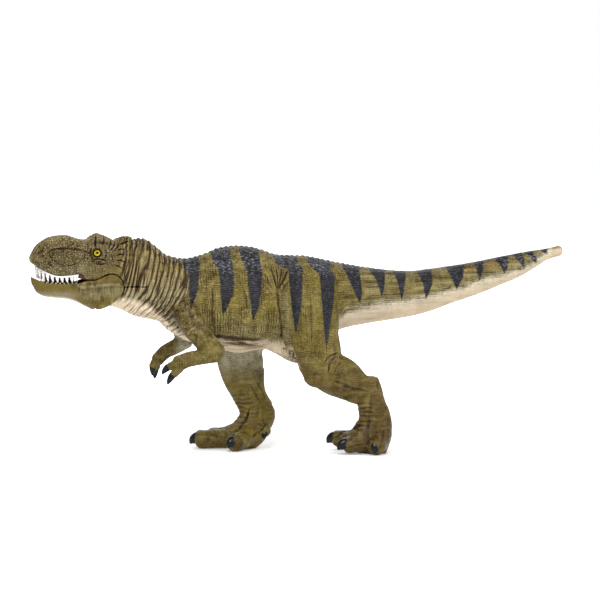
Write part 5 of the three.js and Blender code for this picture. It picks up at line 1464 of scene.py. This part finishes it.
def make_jaw():
    skin = Skin(jaw_parts(), HEAD_VOXEL, rounds=4, fill_rounds=6)
    co, normal = skin.co, skin.normal
    x, y, z = co.T
    across, down = skin.picture.T
    outside = ramp(np.abs(y), JAW_EAR_INSET - 0.5, JAW_EAR_INSET + 1) * skin.facing
    # The jaw's ridge, raised, with a painted highlight.
    crest = bell(trace(skin.picture, jaw_ridge) * PIXEL, 0, 0.65) * outside * ramp(across, 74, 80)
    skin.height += crest * 0.6
    skin.ridge += crest * 0.7
    heel = np.linalg.norm(skin.picture - JAW_HEEL, axis=1) * PIXEL
    skin.height -= bell(heel, 0, 2.6) * 0.9
    below = down - np.interp(across, *np.array(under_jaw_ridge).T)
    wrinkled = ramp(below, 0, 2) * outside * ramp(across, 60, 74)
    skin.swell((1.1, 3, 8), 50, 0.14, wrinkled, 0.22)
    # Streaks on the jaw: painted highlight and painted shade.
    skin.streak = wrinkled * 0.2 + outside * 0.05
    skin.swell((3, 3, 2), 52, 0.14, outside, 0.3)
    skin.swell((1.0, 3, 4), 56, 0.08, outside * ramp(across, 50, 70), 0.35)
    # Painted shade above the jaw's ridge and along the edge under it.
    skin.wash += band(below, -6, -1.5, -1.5, 0.5) * outside * ramp(across, 74, 80) * 0.4
    skin.wash += bell(below, 2.2, 0.9) * outside * ramp(across, 74, 80) * 0.25
    skin.hatch *= 0.15 + 0.2 * wrinkled
    skin.fleck *= 0.5
    skin.pebble = outside * fall(across, 64, 84) * 0.35
    blotch = noise(co, 9, 53) * 0.6 + noise(co, 3, 54) * 0.4
    skin.dye("light", ramp(blotch, -0.1, 0.9) * 0.25)
    skin.dye("brown", 0.4 + ramp(-blotch, 0, 0.9) * 0.4)
    skin.dye("grey", ramp(below, 0, 3) * ramp(across, 74, 90) * fall(below, 8, 15) * 0.35)
    skin.dye("ash", ramp(down, 289, 297) * fall(across, 64, 84) * 0.4)
    skin.dye("cream", ramp(-normal[:, 2], 0.75, 0.95) * 0.6)
    # Painted highlight along the jaw's ridge.
    skin.dye("ash", crest * 0.25)
    forward, _, half_widths = np.array(jaw_shares).T
    half = np.interp(-(x - PIVOT[0]) / JAW_REACH, forward, half_widths) * JAW_WIDTH
    inside = fall(np.abs(y), half - 2.4, half - 1.2) * (z > PIVOT[2] - JAW_DEPTH * 1.05)
    inside = inside * ramp(normal[:, 2] + 0.8 * np.sign(-y) * normal[:, 1], 0.1, 0.5)
    skin.dye("flesh", inside)
    skin_pieces(skin, np.zeros(len(skin.quads), int), ["lower_jaw"], "jaw")
    rows = []
    for forward, width, drop in tongue_shares:
        along = PIVOT[0] - forward * JAW_REACH
        low = PIVOT[2] - TROUGH_DROP / math.cos(TROUGH_TILT) + forward * JAW_REACH * math.tan(TROUGH_TILT)
        high = lip_height(along) - TONGUE_CLEARANCE - drop * TONGUE_THICKNESS
        rows.append((along, 0, (low + high) / 2, (high - low) / 2, width * TONGUE_WIDTH / 2))
    plain_piece("tongue", [loft(rows, upright=True, domes=(1, 1))], TONGUE, "jaw")


# Tooth rows. Columns: forward, half width of the row.
row_shares = [(0.4, 0.395), (0.507, 0.378), (0.66, 0.37), (0.79, 0.335), (0.89, 0.27), (0.95, 0.16),
              (0.965, 0.0)]
TOOTH_INSET, TOOTH_STRIP_HEIGHT, TOOTH_STRIP_WIDTH = 1.9, 1.15, 1.7


def row_curve(inset):
    """The plan line of a tooth row, from one mouth corner round the snout to the other."""
    half = []
    for forward, share in row_shares:
        back = inset if share < 0.3 else 0
        half.append((PIVOT[0] - forward * SKULL_REACH + back, max(share * SKULL_WIDTH - inset, 0), 0))
    line = half + [(x, -y, z) for x, y, z in half[-2::-1]]
    fine = catmull(line, np.linspace(0, 1, 600))
    return fine, run_of(fine)


def rim_height(x):
    rim = jaw_rim()
    return np.interp(x, rim[:, 0], rim[:, 1])


def tooth_row(name, inset, count, direction, lift, length, radius, body, node):
    """A gum band with curved teeth. The teeth point down for the upper row and up for the lower."""
    fine, run = row_curve(inset)

    def at(distance):
        return np.array([np.interp(distance, run, fine[:, k]) for k in range(3)])

    total = run[-1]
    cos, sin = rounded(around(20), 0.6)
    rings = []
    for distance in np.linspace(0, total, 120):
        p, ahead = at(distance), at(min(distance + 0.3, total)) - at(max(distance - 0.3, 0))
        ahead /= np.linalg.norm(ahead)
        across = np.array([-ahead[1], ahead[0], 0])
        ring = p + across * (TOOTH_STRIP_WIDTH / 2 * sin)[:, None]
        ring[:, 2] = lift(ring[:, 0]) + direction * TOOTH_STRIP_HEIGHT * (0.5 - 0.5 * cos)
        rings.append(ring)
    parts = [skinned(np.array(rings))]
    for i in range(count):
        p = at((i + 0.5) / count * total)
        tall = length(p[0])
        stations = []
        for share in (0, 0.3, 0.6, 0.85, 1.0):
            z = lift(p[0]) + direction * (TOOTH_STRIP_HEIGHT * 0.4 + tall * share)
            wide = radius * (1 - share ** 2.2 * 0.8)
            stations.append((p[0] + 0.5 * share * share, p[1], z, wide))
        parts.append(tooth(stations))
    plain_piece(name, parts, TOOTH, body, (node,))


def tooth(stations):
    """A round tooth through level rings."""
    turns = around(16)
    x, y, z, radius = catmull(stations, np.linspace(0, 1, 13)).T[:, :, None]
    return skinned(np.stack([x + radius * np.cos(turns), y + radius * np.sin(turns), z + 0 * turns], 2))


def make_teeth():
    def upper_length(x):
        room = lip_height(x) - rim_height(x) - GLUE_GAP - TOOTH_STRIP_HEIGHT * 0.5 - 0.35
        backness = (x - (PIVOT[0] - SKULL_REACH)) / SKULL_REACH
        return min(room, 5.2 * (1.35 - 1.25 * backness))

    tooth_row("upper_teeth_row", inset=TOOTH_INSET, count=20, direction=-1,
              lift=lambda x: lip_height(x) - 0.1, length=upper_length, radius=0.98, body="figure",
              node="upper_teeth")
    tooth_row("lower_teeth_row", inset=TOOTH_INSET + 2.4, count=21, direction=1,
              lift=lambda x: rim_height(x) - 1.2, length=lambda x: 1.5, radius=0.7, body="jaw",
              node="lower_teeth")


def make_flesh():
    """The soft corners of the mouth, between the lip and the lower jaw's rim."""
    forward = np.linspace(0.26, 0.4, 12)
    x = PIVOT[0] - forward * SKULL_REACH
    top = np.stack([x, lip_height(x) + 1.5], 1)
    raised = rim_height(x) + JAW_GAP + ramp(forward, 0.3, 0.4) * 2.2
    bottom = np.stack([x, np.minimum(raised, lip_height(x) + 1.2)], 1)
    bottom[-1, 1] = lip_height(x[-1]) + 0.6
    half = 0.4 * SKULL_WIDTH - TOOTH_INSET
    block = plate(np.vstack([top, bottom[::-1]]), -half, half)
    plain_piece("mouth_flesh", [block], FLESH, "figure")


def make_eyes(skin):
    """Yellow eyes with round black pupils, set in their sockets."""
    centre = placed(*EYE, EYE_SIDE)
    x, y, z = skin.co.T
    near = np.argsort(np.hypot(x - centre[0], z - centre[2]) + (y > 0) * 99)[:40]
    surface = skin.co[near].mean(0)
    normal = skin.normal[near].mean(0)
    normal /= np.linalg.norm(normal)
    middle = surface - normal * (EYE_RADIUS * 0.86)
    co, tris = triangles(unit_ball(48, 46))
    paint = np.tile(linear(COLOURS["eye_rim"]), (len(co), 1))
    paint = over(paint, "iris", ramp(co @ normal, 0.72, 0.76))
    paint = over(paint, "pupil", ramp(co @ normal, 0.905, 0.93))
    for name, flip in (("left_eye", 1), ("right_eye", -1)):
        placed_co = (co * EYE_RADIUS + middle) * (1, flip, 1)
        turned = tris if flip > 0 else tris[:, ::-1]
        piece(name, placed_co, turned, EYE_PAINT, "figure", layers={"paint": paint})


head = make_head()
make_eyes(head)
make_body()
make_jaw()
make_teeth()
make_flesh()
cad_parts["jaw_pin"].data.materials.clear()
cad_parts["jaw_pin"].data.materials.append(STEEL)


# Floor, camera and light.
FLOOR_REACH = 3.0
LAMP_AIM = (0, 0, 0.08)
LAMPS = [("key_lamp", (-0.35, -0.8, 0.9), 9, 0.5), ("fill_lamp", (0.7, -0.7, 0.6), 4, 0.7),
         ("back_lamp", (0.2, 0.8, 0.8), 4, 0.7)]


def make_floor():
    corners = [(-FLOOR_REACH, -FLOOR_REACH, 0), (FLOOR_REACH, -FLOOR_REACH, 0),
               (FLOOR_REACH, FLOOR_REACH, 0), (-FLOOR_REACH, FLOOR_REACH, 0)]
    mesh = bpy.data.meshes.new("floor")
    mesh.from_pydata(corners, [], [(0, 1, 2, 3)])
    floor = added("floor", mesh)
    material = bpy.data.materials.new("white_floor")
    look = Look(material)
    away = look.add("VectorMath", {0: look.place()}, "Value", operation="LENGTH")
    glow = look.math("MULTIPLY", look.ranged(away, 0.12, 0.5, 0.22, 1.0), look.ray("Camera"))
    look.feed(look.end, {"Base Color": (0.95, 0.95, 0.95, 1), "Roughness": 0.9,
                         "Emission Color": (1, 1, 1, 1), "Emission Strength": glow})
    mesh.materials.append(material)


def make_camera():
    data = bpy.data.cameras.new("camera")
    data.sensor_width = SENSOR
    data.lens = SENSOR * VIEW_DISTANCE / (2 * PICTURE_MIDDLE * PIXEL)
    data.clip_end = 20
    camera = added("camera", data)
    eye = (VIEW_TARGET + SHIFT - VIEW_AHEAD * VIEW_DISTANCE) * MM
    rows = [(VIEW_RIGHT[k], VIEW_UP[k], -VIEW_AHEAD[k], eye[k]) for k in range(3)]
    camera.matrix_world = Matrix([*rows, (0, 0, 0, 1)])
    bpy.context.scene.camera = camera


def make_lamp(name, place, power, size):
    data = bpy.data.lights.new(name, "AREA")
    data.energy, data.size = power, size
    lamp = added(name, data)
    lamp.location = place
    lamp.rotation_euler = (Vector(LAMP_AIM) - Vector(place)).to_track_quat("-Z", "Y").to_euler()


def make_world():
    world = bpy.data.worlds.new("studio")
    bpy.context.scene.world = world
    look = Look(world, "Background")
    seen = look.math("MAXIMUM", look.ray("Camera"), look.ray("Transmission"))
    look.feed(look.end, {"Color": (1, 1, 1, 1), "Strength": look.ranged(seen, 0.0, 1.0, 0.55, 1.0)})


make_floor()
make_camera()
for lamp_values in LAMPS:
    make_lamp(*lamp_values)
make_world()
bpy.context.scene.view_settings.view_transform = "Standard"
